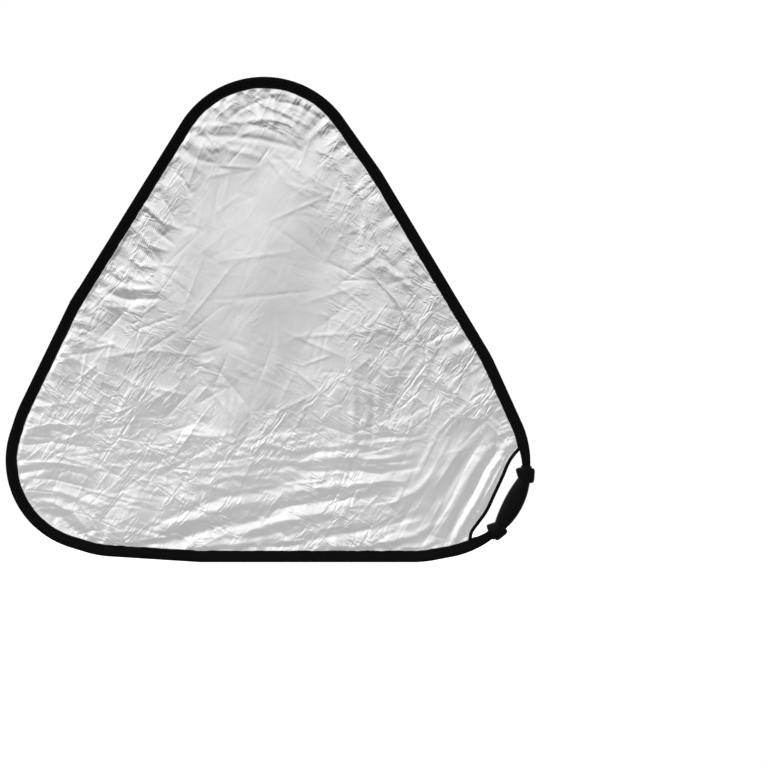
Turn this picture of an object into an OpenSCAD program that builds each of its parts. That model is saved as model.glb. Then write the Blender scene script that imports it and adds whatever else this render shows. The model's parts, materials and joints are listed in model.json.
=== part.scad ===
// Collapsible triangular hand reflector.
// A flat spring-steel hoop in a sewn black binding stretches a silver sheet over a white one.
// The hoop's two ends meet inside a moulded grip at the lower right corner.
// The panel is drawn lying flat (X right, Y up the panel, Z towards the silver face), with
// its base on Y = 0 and its width centred on X = 0. stood() then raises it, so that the silver
// face looks along -Y and the origin is at the middle of the grip.

/* [Panel] */
// Overall width across the rim
panel_w = 866; // [700:1:1050]
// Overall height from the straight base to the apex
panel_h = 801; // [650:1:980]
// Place of the apex, right of the middle
apex_x = -7; // [-30:1:30]
// Outer radius of the rim at the apex
apex_r = 161; // [130:1:200]
// Outer radius of the rim at the tip of the left corner
left_tip_r = 150; // [120:1:185]
// Height of the left corner's tip above the base
left_tip_y = 168; // [155:1:210]
// Outer radius of the rim at the tip of the grip's corner
grip_tip_r = 159; // [130:1:195]
// Height of the grip corner's tip above the base
grip_tip_y = 165; // [160:1:210]

/* [Sides] */
// Radius of the sweep from the left tip into the left side
left_side_r = 176; // [150:1:215]
// Radius of the sweep from the base into the left tip
left_base_r = 218; // [200:1:260]
// Radius of the sweep from the grip corner into the right side
right_side_r = 210; // [180:1:250]
// Radius of the sweep from the base into the grip corner
right_base_r = 186; // [175:1:225]
// How far the right side bows out of straight
right_bow = 6; // [2:0.5:14]
// How far the left side stands out at its kink
left_kink = 12; // [3:0.5:20]

/* [Rim] */
// Width of the black binding around the sheets
rim_w = 19; // [15:0.5:24]
// Width of the binding where it runs free to the grip
free_rim_w = 14; // [10:0.5:17]
// Width of the spring-steel band, front to back
band_w = 8; // [6:0.5:10]
// Thickness of the spring-steel band
band_t = 1; // [0.6:0.1:1.4]
// Thickness of the binding tape
tape_t = 0.8; // [0.5:0.1:1.2]
// Length of the overlap where the binding's ends meet
splice_len = 28; // [20:1:45]

/* [Sheets] */
// Thickness of each sheet
sheet_t = 0.35; // [0.2:0.05:0.6]
// Depth of each sheet's hem inside the binding, from the rim's outer edge
hem_in = 9; // [6:0.5:12]
// Width of the tape along the sheet's free edge beside the grip
edge_tape_w = 5.5; // [4:0.5:9]

/* [Grip] */
// Direction of the grip's middle, seen from the centre of its corner
grip_angle = -27.5; // [-40:0.5:-15]
// Distance from mouth to mouth, where the rim enters the grip
grip_len = 118; // [105:1:145]
// Length of each end guard
guard_len = 20; // [16:1:24]
// Outer radius of each end guard
guard_r = 15.5; // [14:0.5:18]
// Thickness of the guards, front to back
guard_thick = 26; // [22:1:30]
// Radius of the grip beside the guards
grip_end_r = 11; // [10:0.5:13]
// Radius of the grip at its middle
grip_mid_r = 16.5; // [13.5:0.25:19]
// Thickness of the grip at its middle, front to back
grip_thick = 25; // [22:1:29]
// Thickness of the rubber sleeve on the grip
rubber_t = 2.2; // [1.5:0.1:3]
// Distance from the grip's axis to the sheet's free edge
finger_room = 33; // [30:1:45]
// Turn of the sheet's free edge against the grip
edge_turn = 2; // [0:0.5:5]
// Diameter of the shells' screws
screw_d = 3; // [2.5:0.5:4]
// Diameter of the pins through the band's ends
pin_d = 2.5; // [2:0.5:3]
// Length of each band end inside the grip
tail_len = 36; // [28:1:42]

/* [Fold] */
// Distance between neighbouring fold lines
fold_pitch = 90; // [75:1:110]
// Clear slit at each fold line
fold_slit = 4.6; // [4:0.2:6]

/* [Hidden] */

$fn = 96;
LEAVES = 7;
// Size and height of the blocks and wedges that cut pieces apart
FAR = 2000;
CUT_H = 80;

// Running and seating clearances
fit = 0.05;
pocket_fit = 0.15;
// Lap of each straight run into its corners, and how much fuller it is there, so that the
// hoop fuses into one solid
lap = 0.05;
fuller = 0.02;

// Where the sweeps beside each corner lie, inward and up from the corner's own centre
left_side_in = 33;
left_side_up = 17;
left_base_in = 177;
right_base_in = 34;
right_side_in = 91;
right_side_up = 77;
// Share of each side's length, from its start, where it stands out most, and its radius there
right_bow_share = 0.77;
right_bow_r = 90;
left_kink_share = 0.67;
left_kink_r = 43;
// Width of the rim's thick outer part, and of the seam that closes the tape on the sheets
crown_w = 3;
seam_w = 4;

// --- Outline: a belt drawn tight around round corners, each [x, y, radius] ---

function wrap(a) = a > 180 ? a - 360 : a <= -180 ? a + 360 : a;
function at(c, a, r) = [c[0] + r * cos(a), c[1] + r * sin(a)];
// Direction in which the belt's straight run from corner a to corner b faces
function facing(a, b) =
    let (dx = b[0] - a[0], dy = b[1] - a[1])
    atan2(dy, dx) - acos((a[2] - b[2]) / norm([dx, dy]));
// A corner that pushes the run from a to b out, at share t of its length
function bump(a, b, t, out, r) =
    let (n = facing(a, b), p = at(a, n, a[2]), q = at(b, n, b[2]), m = p + t * (q - p))
    concat(at(m, n, out - r), [r]);
function turn(c, i) =
    let (n = len(c), before = c[(i + n - 1) % n], after = c[(i + 1) % n])
    wrap(wrap(facing(c[i], after)) - wrap(facing(before, c[i])));
// Leaves out the corners that the tight belt doesn't reach
function tight(c) =
    let (kept = [for (i = [0:len(c) - 1]) if (turn(c, i) > 0.01) c[i]])
    len(kept) == len(c) ? c : tight(kept);

apex = [apex_x, panel_h - apex_r, apex_r];
left_tip = [-panel_w / 2 + left_tip_r, left_tip_y, left_tip_r];
left_side = [left_tip[0] + left_side_in, left_tip[1] + left_side_up, left_side_r];
left_base = [left_tip[0] + left_base_in, left_base_r, left_base_r];
grip_tip = [panel_w / 2 - grip_tip_r, grip_tip_y, grip_tip_r];
right_base = [grip_tip[0] - right_base_in, right_base_r, right_base_r];
right_side = [grip_tip[0] - right_side_in, grip_tip[1] + right_side_up, right_side_r];
bow = bump(right_side, apex, right_bow_share, right_bow, right_bow_r);
kink = bump(apex, left_side, left_kink_share, left_kink, left_kink_r);

corners = tight([
    left_base,
    right_base,
    grip_tip,
    right_side,
    bow,
    apex,
    kink,
    left_side,
    left_tip,
    left_side
]);
N = len(corners);
function next(i) = corners[(i + 1) % N];
function last(i) = corners[(i + N - 1) % N];
kink_i = [for (i = [0:N - 1]) if (corners[i] == kink) i][0];

// --- Cross-sections: distance in from the rim's outer edge, and half thickness ---

slot = fit + sheet_t;
band_in = tape_t + fit;
rim_half = band_w / 2 + fit + tape_t;
edge_half = slot + tape_t;

function both(points) =
    concat(points, [for (i = [len(points) - 1:-1:0]) [points[i][0], -points[i][1]]]);
// Outside of the folded tape, with a soft outer edge and a thin inner edge
function tape_outside(w, grow = 0) = both([
    [-grow, rim_half - tape_t + grow],
    [tape_t - grow, rim_half + grow],
    [crown_w, rim_half + grow],
    [w + grow, edge_half + grow]
]);
// Room inside the tape, open at the inner edge for the sheets
function tape_inside(w, grow = 0) = both([
    [tape_t - grow, band_w / 2 + fit + grow],
    [tape_t + band_t + 2 * fit + grow, band_w / 2 + fit + grow],
    [w - seam_w, slot + grow],
    [w + 1 + grow, slot + grow]
]);
// Room inside the tape where it is sewn shut at its inner edge
function tape_inside_shut(w) = both([
    [tape_t, band_w / 2 + fit],
    [tape_t + band_t + 2 * fit, band_w / 2 + fit],
    [w - 2 * tape_t, fit]
]);
function band_section(grow = 0) = both([
    [band_in - grow, band_w / 2 + grow],
    [band_in + band_t + grow, band_w / 2 + grow]
]);

module section(points, r) polygon([for (p = points) [r - p[0], p[1]]]);
// Section carried around a corner from one direction to another
module arc(points, c, from, to) {
    translate([c[0], c[1], 0])
        rotate([0, 0, from])
            rotate_extrude(angle = to - from) section(points, c[2]);
}
function run_length(a, b) =
    let (n = facing(a, b))
    norm(at(b, n, b[2]) - at(a, n, a[2]));
// Section carried straight between corners a and b, from one distance after a to another
module run(points, a, b, from, to) {
    n = facing(a, b);
    p = at(a, n, a[2]);
    translate([p[0], p[1], 0])
        rotate([0, 0, n])
            translate([0, from, 0])
                rotate([-90, 0, 0])
                    linear_extrude(to - from) section(points, 0);
}
// Sections carried all the way round, one round the corners and one along the runs
module hoop(corner_points, run_points) {
    for (i = [0:N - 1]) {
        start = facing(last(i), corners[i]);
        arc(corner_points, corners[i], start, start + turn(corners, i));
        run(run_points, corners[i], next(i), -lap, run_length(corners[i], next(i)) + lap);
    }
}
// Area inside the hoop at a depth from its outer edge
module inside(depth) {
    for (c = corners) translate([c[0], c[1]]) circle(c[2] - depth);
    polygon([
        for (i = [0:N - 1])
            for (side = [last(i), next(i)])
                at(corners[i], side == last(i) ? facing(side, corners[i])
                    : facing(corners[i], side), corners[i][2] - depth)
    ]);
}

// --- Grip geometry, in the plane of the panel ---

guard_in = 8.5;
guard_axis_r = grip_tip_r - guard_in;
mouth_a = asin(grip_len / 2 / guard_axis_r);
grip_u = guard_axis_r * cos(mouth_a) + guard_len * sin(mouth_a);
grip_half = guard_axis_r * sin(mouth_a) - guard_len * cos(mouth_a);
grip_c = at(grip_tip, grip_angle, grip_u);
// Radius of the band's middle at the grip, and the rim angles of its ends and their pins
band_r = grip_tip_r - band_in - band_t / 2;
pin_end = 6;
tail_a = mouth_a - tail_len / band_r * 180 / PI;
pin_a = tail_a + pin_end / band_r * 180 / PI;
// The sheet's free edge: its distance from the corner's centre and the rim angles it meets
free_edge_u = grip_u - finger_room;
free_edge_a = acos(free_edge_u / (grip_tip_r - rim_w));
free_a0 = grip_angle + edge_turn - free_edge_a;
free_a1 = grip_angle + edge_turn + free_edge_a;
// How far the rim's binding reaches into the grip
mouth_depth = 4;
mouth_in_a = mouth_depth / grip_tip_r * 180 / PI;
bulge = grip_mid_r - grip_end_r;
bulge_r = (grip_half * grip_half + bulge * bulge) / 2 / bulge;
// Radius of the grip at a distance along it from its middle
function barrel_at(y) = grip_mid_r - bulge_r + sqrt(bulge_r * bulge_r - y * y);

module stood() rotate([90, 0, 0]) translate([-grip_c[0], -grip_c[1], 0]) children();
// Frame of the grip: X out of the corner, Y up along the grip
module at_grip() translate([grip_tip[0], grip_tip[1], 0]) rotate([0, 0, grip_angle]) children();
// Frame of each guard: its mouth at the origin, its axis running back along -Y
module at_guards() {
    at_grip() for (end = [0, 1])
        mirror([0, end, 0]) rotate([0, 0, mouth_a]) translate([guard_axis_r, 0, 0]) children();
}
// Everything at the grip's corner between two rim directions
module sector(from, to) {
    linear_extrude(CUT_H, center = true)
        polygon([
            [grip_tip[0], grip_tip[1]],
            at(grip_tip, from, 2 * grip_tip_r),
            at(grip_tip, (from + to) / 2, 3 * grip_tip_r),
            at(grip_tip, to, 2 * grip_tip_r)
        ]);
}

// --- Leaves: the panel between neighbouring fold lines, numbered from the grip's side ---

function fold_x(k) = fold_pitch * ((LEAVES - 1) / 2 + 0.5 - k);
function leaf_lo(i) = i == LEAVES ? -FAR / 2 : fold_x(i) + fold_slit / 2;
function leaf_hi(i) = i == 1 ? FAR / 2 : fold_x(i - 1) - fold_slit / 2;
module leaf(i) {
    intersection() {
        union() children();
        translate([leaf_lo(i), -FAR / 2, -CUT_H / 2]) cube([leaf_hi(i) - leaf_lo(i), FAR, CUT_H]);
    }
}

// --- Pieces ---

module spring_band(i) {
    color("slategray") stood() leaf(i) difference() {
        hoop(band_section(), band_section(fuller));
        sector(grip_angle - tail_a, grip_angle + tail_a);
        if (i == 1) pins(pin_d / 2 + fit, 2 * band_t, 2 * band_t);
    }
}
module rim_binding(i) {
    color("black") stood() leaf(i) difference() {
        hoop(tape_outside(rim_w), tape_outside(rim_w, fuller));
        hoop(tape_inside(rim_w), tape_inside(rim_w, fuller));
        if (i == 1) sector(free_a0, free_a1);
    }
}
module sheet(low) {
    difference() {
        translate([0, 0, low]) linear_extrude(sheet_t) inside(hem_in);
        translate([grip_tip[0], grip_tip[1], 0])
            rotate([0, 0, grip_angle + edge_turn])
                translate([free_edge_u - fit - tape_t, -FAR / 2, -CUT_H / 2])
                    cube([FAR, FAR, CUT_H]);
    }
}
module silver_sheet(i) color("silver") stood() leaf(i) sheet(fit);
module white_sheet(i) color("white") stood() leaf(i) sheet(-fit - sheet_t);

// Folded tape along the sheet's free edge, from rim to rim
module free_edge_tape() {
    color("black") stood() intersection() {
        translate([grip_tip[0], grip_tip[1], 0])
            rotate([0, 0, grip_angle + edge_turn])
                difference() {
                    translate([free_edge_u - edge_tape_w, -FAR / 2, -edge_half])
                        cube([edge_tape_w, FAR, 2 * edge_half]);
                    translate([free_edge_u - edge_tape_w - 1, -FAR / 2, -slot])
                        cube([edge_tape_w + 1 - tape_t, FAR, 2 * slot]);
                }
        linear_extrude(CUT_H, center = true)
            translate([grip_tip[0], grip_tip[1]]) circle(grip_tip_r - rim_w - fit);
    }
}
// Dense stitching that ties the free edge's tape to the rim, on both faces
module free_edge_bar_tacks() {
    tack_t = 0.5;
    tack_len = 7;
    tack_in = 9;
    reach = (grip_tip_r - rim_w) * sin(free_edge_a) - tack_in;
    color("dimgray") stood()
        translate([grip_tip[0], grip_tip[1], 0])
            rotate([0, 0, grip_angle + edge_turn])
                for (end = [-1, 1], face = [-1, 1])
                    translate([free_edge_u - edge_tape_w / 2, end * reach,
                               face * (edge_half + tack_t / 2)])
                        cube([edge_tape_w - 1, tack_len, tack_t], center = true);
}
// Second layer of tape where the binding's two ends overlap, just above the left kink
module binding_splice() {
    splice_t = 0.6;
    a = corners[kink_i - 1];
    b = corners[kink_i];
    end = run_length(a, b);
    color("black") stood() difference() {
        run(tape_outside(rim_w - 1, splice_t), a, b, end - splice_len, end);
        run(tape_outside(rim_w, fit), a, b, end - splice_len - 1, end + 1);
    }
}
module free_rim(from, to) {
    difference() {
        arc(tape_outside(free_rim_w), grip_tip, from, to);
        arc(tape_inside_shut(free_rim_w), grip_tip, from - 1, to + 1);
    }
}
module free_rim_upper() {
    color("black") stood() free_rim(grip_angle + mouth_a - mouth_in_a, free_a1);
}
module free_rim_lower() {
    color("black") stood() free_rim(free_a0, grip_angle - mouth_a + mouth_in_a);
}

// Radial pins through the band's two ends, reaching out and in from the band's middle
module pins(r, out, inward) {
    at_grip() for (side = [-1, 1])
        rotate([0, 0, side * pin_a])
            translate([band_r - inward, 0, 0])
                rotate([0, 90, 0]) cylinder(r = r, h = out + inward);
}
// The pins stop short of the rubber sleeve by the thickness of a thin wall
pin_wall = 0.9;
pin_out = barrel_at(band_r * sin(pin_a)) - rubber_t - (band_r * cos(pin_a) - grip_u) - pin_wall;
pin_in = 3.5;
module band_pins() color("silver") stood() pins(pin_d / 2, pin_out, pin_in);

// Barrel of the grip, smaller by the given amount, flattened front and back
module barrel(less, extra) {
    steps = 14;
    reach = grip_half + extra;
    at_grip() intersection() {
        translate([grip_u, 0, 0]) rotate([90, 0, 0]) rotate_extrude() polygon([
            [0, -reach],
            for (i = [-steps:steps]) [barrel_at(i / steps * reach) - less, i / steps * reach],
            [0, reach]
        ]);
        cube([FAR, FAR, grip_thick - 2 * less], center = true);
    }
}
// Trumpet-shaped guards at both ends: a bevelled lip, then a taper down to a narrower neck
guard_bevel = 1.2;
guard_taper = 2.5;
module guards(grow = 0) {
    neck_r = guard_r - guard_taper + grow;
    at_guards() intersection() {
        rotate([90, 0, 0]) rotate_extrude() polygon([
            [0, -grow],
            [guard_r - guard_bevel, -grow],
            [guard_r + grow, guard_bevel],
            [guard_r + grow, 0.3 * guard_len],
            [neck_r, 0.65 * guard_len],
            [neck_r, guard_len + grow],
            [0, guard_len + grow]
        ]);
        cube([FAR, FAR, guard_thick + 2 * grow], center = true);
    }
}
// Screw places: one in each guard and one at the grip's middle, all inward of the band
guard_screw_in = 6.5;
mid_screw_in = 5;
module at_screws() {
    at_guards() translate([-guard_screw_in, -guard_len / 2, 0]) children();
    at_grip() translate([grip_u - mid_screw_in, 0, 0]) children();
}
hole_gap = 0.2;
head_r = screw_d * 0.93;
head_h = screw_d * 0.65;
// The screw heads seat just under the core's surface, at the grip's middle
core_r = grip_mid_r - rubber_t;
head_reach = mid_screw_in + head_r + hole_gap;
head_z = 0.4 - min(grip_thick / 2 - rubber_t, sqrt(core_r * core_r - head_reach * head_reach));
insert_r = screw_d / 2 + 0.9;
insert_len = 6;
insert_z = 0.4;
// How far the core and the rubber sleeve reach past the bare grip into the guards
core_in = 6;
sleeve_in = 4;
module grip_body() {
    band_gap_a = 0.3;
    past_mouth_a = 2;
    difference() {
        union() {
            barrel(rubber_t, core_in);
            guards();
        }
        for (side = [-1, 1]) {
            a = grip_angle + side * (mouth_a + past_mouth_a);
            b = grip_angle + side * (tail_a - band_gap_a);
            m = grip_angle + side * (mouth_a - mouth_in_a - fit);
            arc(band_section(pocket_fit), grip_tip, min(a, b), max(a, b));
            arc(tape_outside(free_rim_w + pocket_fit, pocket_fit), grip_tip,
                min(m, a), max(m, a));
        }
        pins(pin_d / 2 + fit, pin_out + hole_gap, pin_in + hole_gap);
    }
}
module grip_front_shell() {
    color("black") stood() difference() {
        intersection() {
            grip_body();
            translate([-FAR / 2, -FAR / 2, 0]) cube([FAR, FAR, CUT_H]);
        }
        at_screws() translate([0, 0, -1]) {
            cylinder(r = screw_d / 2 + hole_gap / 2, h = insert_len + 3.5);
            cylinder(r = insert_r, h = insert_len + insert_z + 1.1);
        }
    }
}
module grip_rear_shell() {
    color("black") stood() difference() {
        intersection() {
            grip_body();
            translate([-FAR / 2, -FAR / 2, -CUT_H]) cube([FAR, FAR, CUT_H]);
        }
        at_screws() translate([0, 0, -CUT_H]) {
            cylinder(r = screw_d / 2 + hole_gap, h = CUT_H + 1);
            cylinder(r = head_r + hole_gap, h = CUT_H + head_z + head_h);
        }
    }
}
module grip_rubber() {
    color("darkslategray") stood() difference() {
        barrel(0, sleeve_in);
        barrel(rubber_t - fit, core_in + 1);
        guards(fit);
    }
}
module shell_screws() {
    socket_r = screw_d * 0.4;
    socket_h = head_h * 0.6;
    color("dimgray") stood() at_screws() difference() {
        union() {
            translate([0, 0, head_z]) cylinder(r = head_r, h = head_h);
            translate([0, 0, head_z + head_h - lap])
                cylinder(r = screw_d / 2, h = insert_len - head_z - head_h + lap);
        }
        translate([0, 0, head_z - lap]) cylinder(r = socket_r, h = socket_h, $fn = 6);
    }
}
module thread_inserts() {
    thread_gap = 0.02;
    color("goldenrod") stood() at_screws() difference() {
        translate([0, 0, insert_z]) cylinder(r = insert_r, h = insert_len);
        translate([0, 0, insert_z - lap])
            cylinder(r = screw_d / 2 + thread_gap, h = insert_len + 2 * lap);
    }
}

spring_band(1);  // spring_band_1
spring_band(2);  // spring_band_2
spring_band(3);  // spring_band_3
spring_band(4);  // spring_band_4
spring_band(5);  // spring_band_5
spring_band(6);  // spring_band_6
spring_band(7);  // spring_band_7
rim_binding(1);  // rim_binding_1
rim_binding(2);  // rim_binding_2
rim_binding(3);  // rim_binding_3
rim_binding(4);  // rim_binding_4
rim_binding(5);  // rim_binding_5
rim_binding(6);  // rim_binding_6
rim_binding(7);  // rim_binding_7
silver_sheet(1);  // silver_sheet_1
silver_sheet(2);  // silver_sheet_2
silver_sheet(3);  // silver_sheet_3
silver_sheet(4);  // silver_sheet_4
silver_sheet(5);  // silver_sheet_5
silver_sheet(6);  // silver_sheet_6
silver_sheet(7);  // silver_sheet_7
white_sheet(1);  // white_sheet_1
white_sheet(2);  // white_sheet_2
white_sheet(3);  // white_sheet_3
white_sheet(4);  // white_sheet_4
white_sheet(5);  // white_sheet_5
white_sheet(6);  // white_sheet_6
white_sheet(7);  // white_sheet_7
free_edge_tape();
free_edge_bar_tacks();
binding_splice();
free_rim_upper();
free_rim_lower();
grip_front_shell();
grip_rear_shell();
grip_rubber();
shell_screws();
thread_inserts();
band_pins();
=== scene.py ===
"""Collapsible triangular hand reflector: woven binding over a spring-steel hoop, a creased
silver cloth over a white one, and a moulded grip at the lower right corner.
Shapes are worked out in millimetres on the panel (X right, Z up from the base, Y to the back)
and put into the row frame when their mesh is made."""
import bpy
import json
import math
import numpy as np
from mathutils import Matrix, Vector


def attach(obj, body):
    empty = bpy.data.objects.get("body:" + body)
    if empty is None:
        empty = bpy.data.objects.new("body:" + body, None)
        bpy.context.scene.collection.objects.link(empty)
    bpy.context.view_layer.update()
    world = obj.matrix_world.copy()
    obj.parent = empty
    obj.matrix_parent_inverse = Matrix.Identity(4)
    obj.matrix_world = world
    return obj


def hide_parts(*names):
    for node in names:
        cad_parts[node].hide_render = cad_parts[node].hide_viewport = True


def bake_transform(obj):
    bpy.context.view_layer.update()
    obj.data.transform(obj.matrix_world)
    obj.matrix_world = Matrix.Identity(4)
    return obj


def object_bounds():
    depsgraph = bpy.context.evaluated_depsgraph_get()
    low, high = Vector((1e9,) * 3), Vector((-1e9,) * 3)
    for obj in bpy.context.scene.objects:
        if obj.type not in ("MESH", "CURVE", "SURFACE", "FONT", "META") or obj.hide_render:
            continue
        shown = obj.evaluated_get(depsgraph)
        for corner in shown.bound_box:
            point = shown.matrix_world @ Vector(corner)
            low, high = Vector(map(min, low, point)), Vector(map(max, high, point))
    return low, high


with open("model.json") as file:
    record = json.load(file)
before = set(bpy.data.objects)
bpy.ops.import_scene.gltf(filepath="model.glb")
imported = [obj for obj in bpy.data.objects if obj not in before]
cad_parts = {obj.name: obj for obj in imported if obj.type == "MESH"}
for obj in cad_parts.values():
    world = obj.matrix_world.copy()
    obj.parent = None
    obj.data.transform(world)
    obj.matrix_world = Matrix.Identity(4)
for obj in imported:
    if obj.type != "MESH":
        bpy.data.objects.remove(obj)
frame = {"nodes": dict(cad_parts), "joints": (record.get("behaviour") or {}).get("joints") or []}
cad_box = [list(corner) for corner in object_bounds()]

MM = 0.001
PANEL_HALF = 433.0
ORIGIN = np.array([-PANEL_HALF - cad_box[0][0] / MM, 0.0, -cad_box[0][2] / MM])
HINGES = [joint["pos_m"][0] / MM + ORIGIN[0] for joint in frame["joints"]]
HALF_PITCH = (HINGES[0] - HINGES[1]) / 2
# Each sewn piece runs from the middle of one leaf to the middle of the next
CUTS = [hinge - HALF_PITCH for hinge in HINGES[:-1]]

# ---------------------------------------------------------------- outline of the rim

# Round corners of the rim's outer edge, going round anticlockwise: centre x, z and radius
GRIP_TIP = (274.0, 165.0, 159.0)
LEFT_BASE = (-106.0, 218.0, 218.0)
RIGHT_BASE = (240.0, 186.0, 186.0)
RIGHT_SIDE = (183.0, 242.0, 210.0)
APEX = (-7.0, 640.0, 161.0)
LEFT_SIDE = (-250.0, 185.0, 176.0)
LEFT_TIP = (-283.0, 168.0, 150.0)


def facing(a, b):
    """Direction in which the tight belt's straight run from corner a to b faces."""
    dx, dz = b[0] - a[0], b[1] - a[1]
    turn = math.atan2(dz, dx) - math.acos((a[2] - b[2]) / math.hypot(dx, dz))
    return math.remainder(turn, 2 * math.pi)


def bump(a, b, share, out, radius):
    """Small corner that pushes the run from a to b out, at a share of its length."""
    n = facing(a, b)
    x, z = (a[i] + a[2] * f(n) + share * (b[i] + b[2] * f(n) - a[i] - a[2] * f(n))
            for i, f in enumerate((math.cos, math.sin)))
    return (x + (out - radius) * math.cos(n), z + (out - radius) * math.sin(n), radius)


CORNERS = [GRIP_TIP, RIGHT_SIDE, bump(RIGHT_SIDE, APEX, 0.77, 6.0, 90.0), APEX,
           bump(APEX, LEFT_SIDE, 0.67, 12.0, 43.0), LEFT_SIDE, LEFT_TIP, LEFT_SIDE,
           LEFT_BASE, RIGHT_BASE]
GRIP_TURN = math.radians(-27.5)
FREE_LO, FREE_HI = math.radians(-61.5), math.radians(10.5)


def rim_runs():
    """Arcs and straight runs of the outline, from the free part's upper end all the way round.
    Each row: start length, length, is it an arc, x, z, radius, start angle."""
    rows, length = [], 0.0
    count = len(CORNERS)
    for i in range(count + 1):
        c = CORNERS[i % count]
        before, after = CORNERS[i - 1], CORNERS[(i + 1) % count]
        start, end = facing(before, c), facing(c, after)
        turn = (end - start + math.pi) % (2 * math.pi) - math.pi
        if i == 0:
            start, turn = FREE_HI, (end - FREE_HI + math.pi) % (2 * math.pi) - math.pi
        if i == count:
            turn = (FREE_HI - start) % (2 * math.pi)
        rows.append((length, c[2] * turn, 1.0, c[0], c[1], c[2], start))
        length += c[2] * turn
        if i < count:
            x0, z0 = c[0] + c[2] * math.cos(end), c[1] + c[2] * math.sin(end)
            x1 = after[0] + after[2] * math.cos(end)
            z1 = after[1] + after[2] * math.sin(end)
            run = math.hypot(x1 - x0, z1 - z0)
            rows.append((length, run, 0.0, x0, z0, 0.0, end))
            length += run
    return np.array(rows)


RUNS = rim_runs()
S_TOTAL = RUNS[-1, 0] + RUNS[-1, 1]
S_END = S_TOTAL - GRIP_TIP[2] * (FREE_HI - FREE_LO)
S_LEFT = RUNS[12, 0] + LEFT_TIP[2] * (math.pi - RUNS[12, 6])


def rim(s):
    """Point of the outer edge at length s along it, and the direction that faces outwards."""
    s = np.asarray(s, float)
    row = RUNS[np.clip(np.searchsorted(RUNS[:, 0], s, side="right") - 1, 0, len(RUNS) - 1)]
    along = s - row[..., 0]
    arc = row[..., 2] > 0
    angle = row[..., 6] + np.where(arc, along / np.maximum(row[..., 5], 1.0), 0.0)
    nx, nz = np.cos(angle), np.sin(angle)
    x = row[..., 3] + np.where(arc, row[..., 5] * nx, -nz * along)
    z = row[..., 4] + np.where(arc, row[..., 5] * nz, nx * along)
    return x, z, nx, nz


def rim_place(x, z):
    """Length along the rim, and depth in from its outer edge, of points on the panel."""
    best = np.full(x.shape, 1e9)
    where = np.zeros(x.shape)
    for start, run, arc, cx, cz, radius, angle in RUNS:
        if arc:
            turn = (np.arctan2(z - cz, x - cx) - angle + 0.01) % (2 * math.pi) - 0.01
            ok = turn * radius <= run + 0.01 * radius
            depth, s = radius - np.hypot(x - cx, z - cz), start + turn * radius
        else:
            nx, nz = math.cos(angle), math.sin(angle)
            along = (z - cz) * nx - (x - cx) * nz
            ok = (along >= -1) & (along <= run + 1)
            depth, s = -((x - cx) * nx + (z - cz) * nz), start + along
        better = ok & (np.abs(depth) < best)
        best = np.where(better, np.abs(depth), best)
        where = np.where(better, s, where)
    return where, best


def crossing(cut, depth, lower):
    """Length s at which the line at each depth in from the outer edge crosses x = cut."""
    lo = np.full(np.shape(depth), S_LEFT if lower else 0.0)
    hi = np.full(np.shape(depth), S_END if lower else S_LEFT)
    for _ in range(44):
        mid = (lo + hi) / 2
        x, _z, nx, _nz = rim(mid)
        right = x - depth * nx > cut
        go_on = ~right if lower else right
        lo, hi = np.where(go_on, mid, lo), np.where(go_on, hi, mid)
    return (lo + hi) / 2


# ---------------------------------------------------------------- making meshes

def quads(nu, nv, round_v=False):
    """Corner indices of a grid's cells, nu by nv points, closed in v if asked."""
    i = np.arange(nu - 1)[:, None] * nv
    j = np.arange(nv if round_v else nv - 1)[None, :]
    k = (j + 1) % nv
    return np.stack([i + j, i + nv + j, i + nv + k, i + k], -1).reshape(-1, 4)


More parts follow.
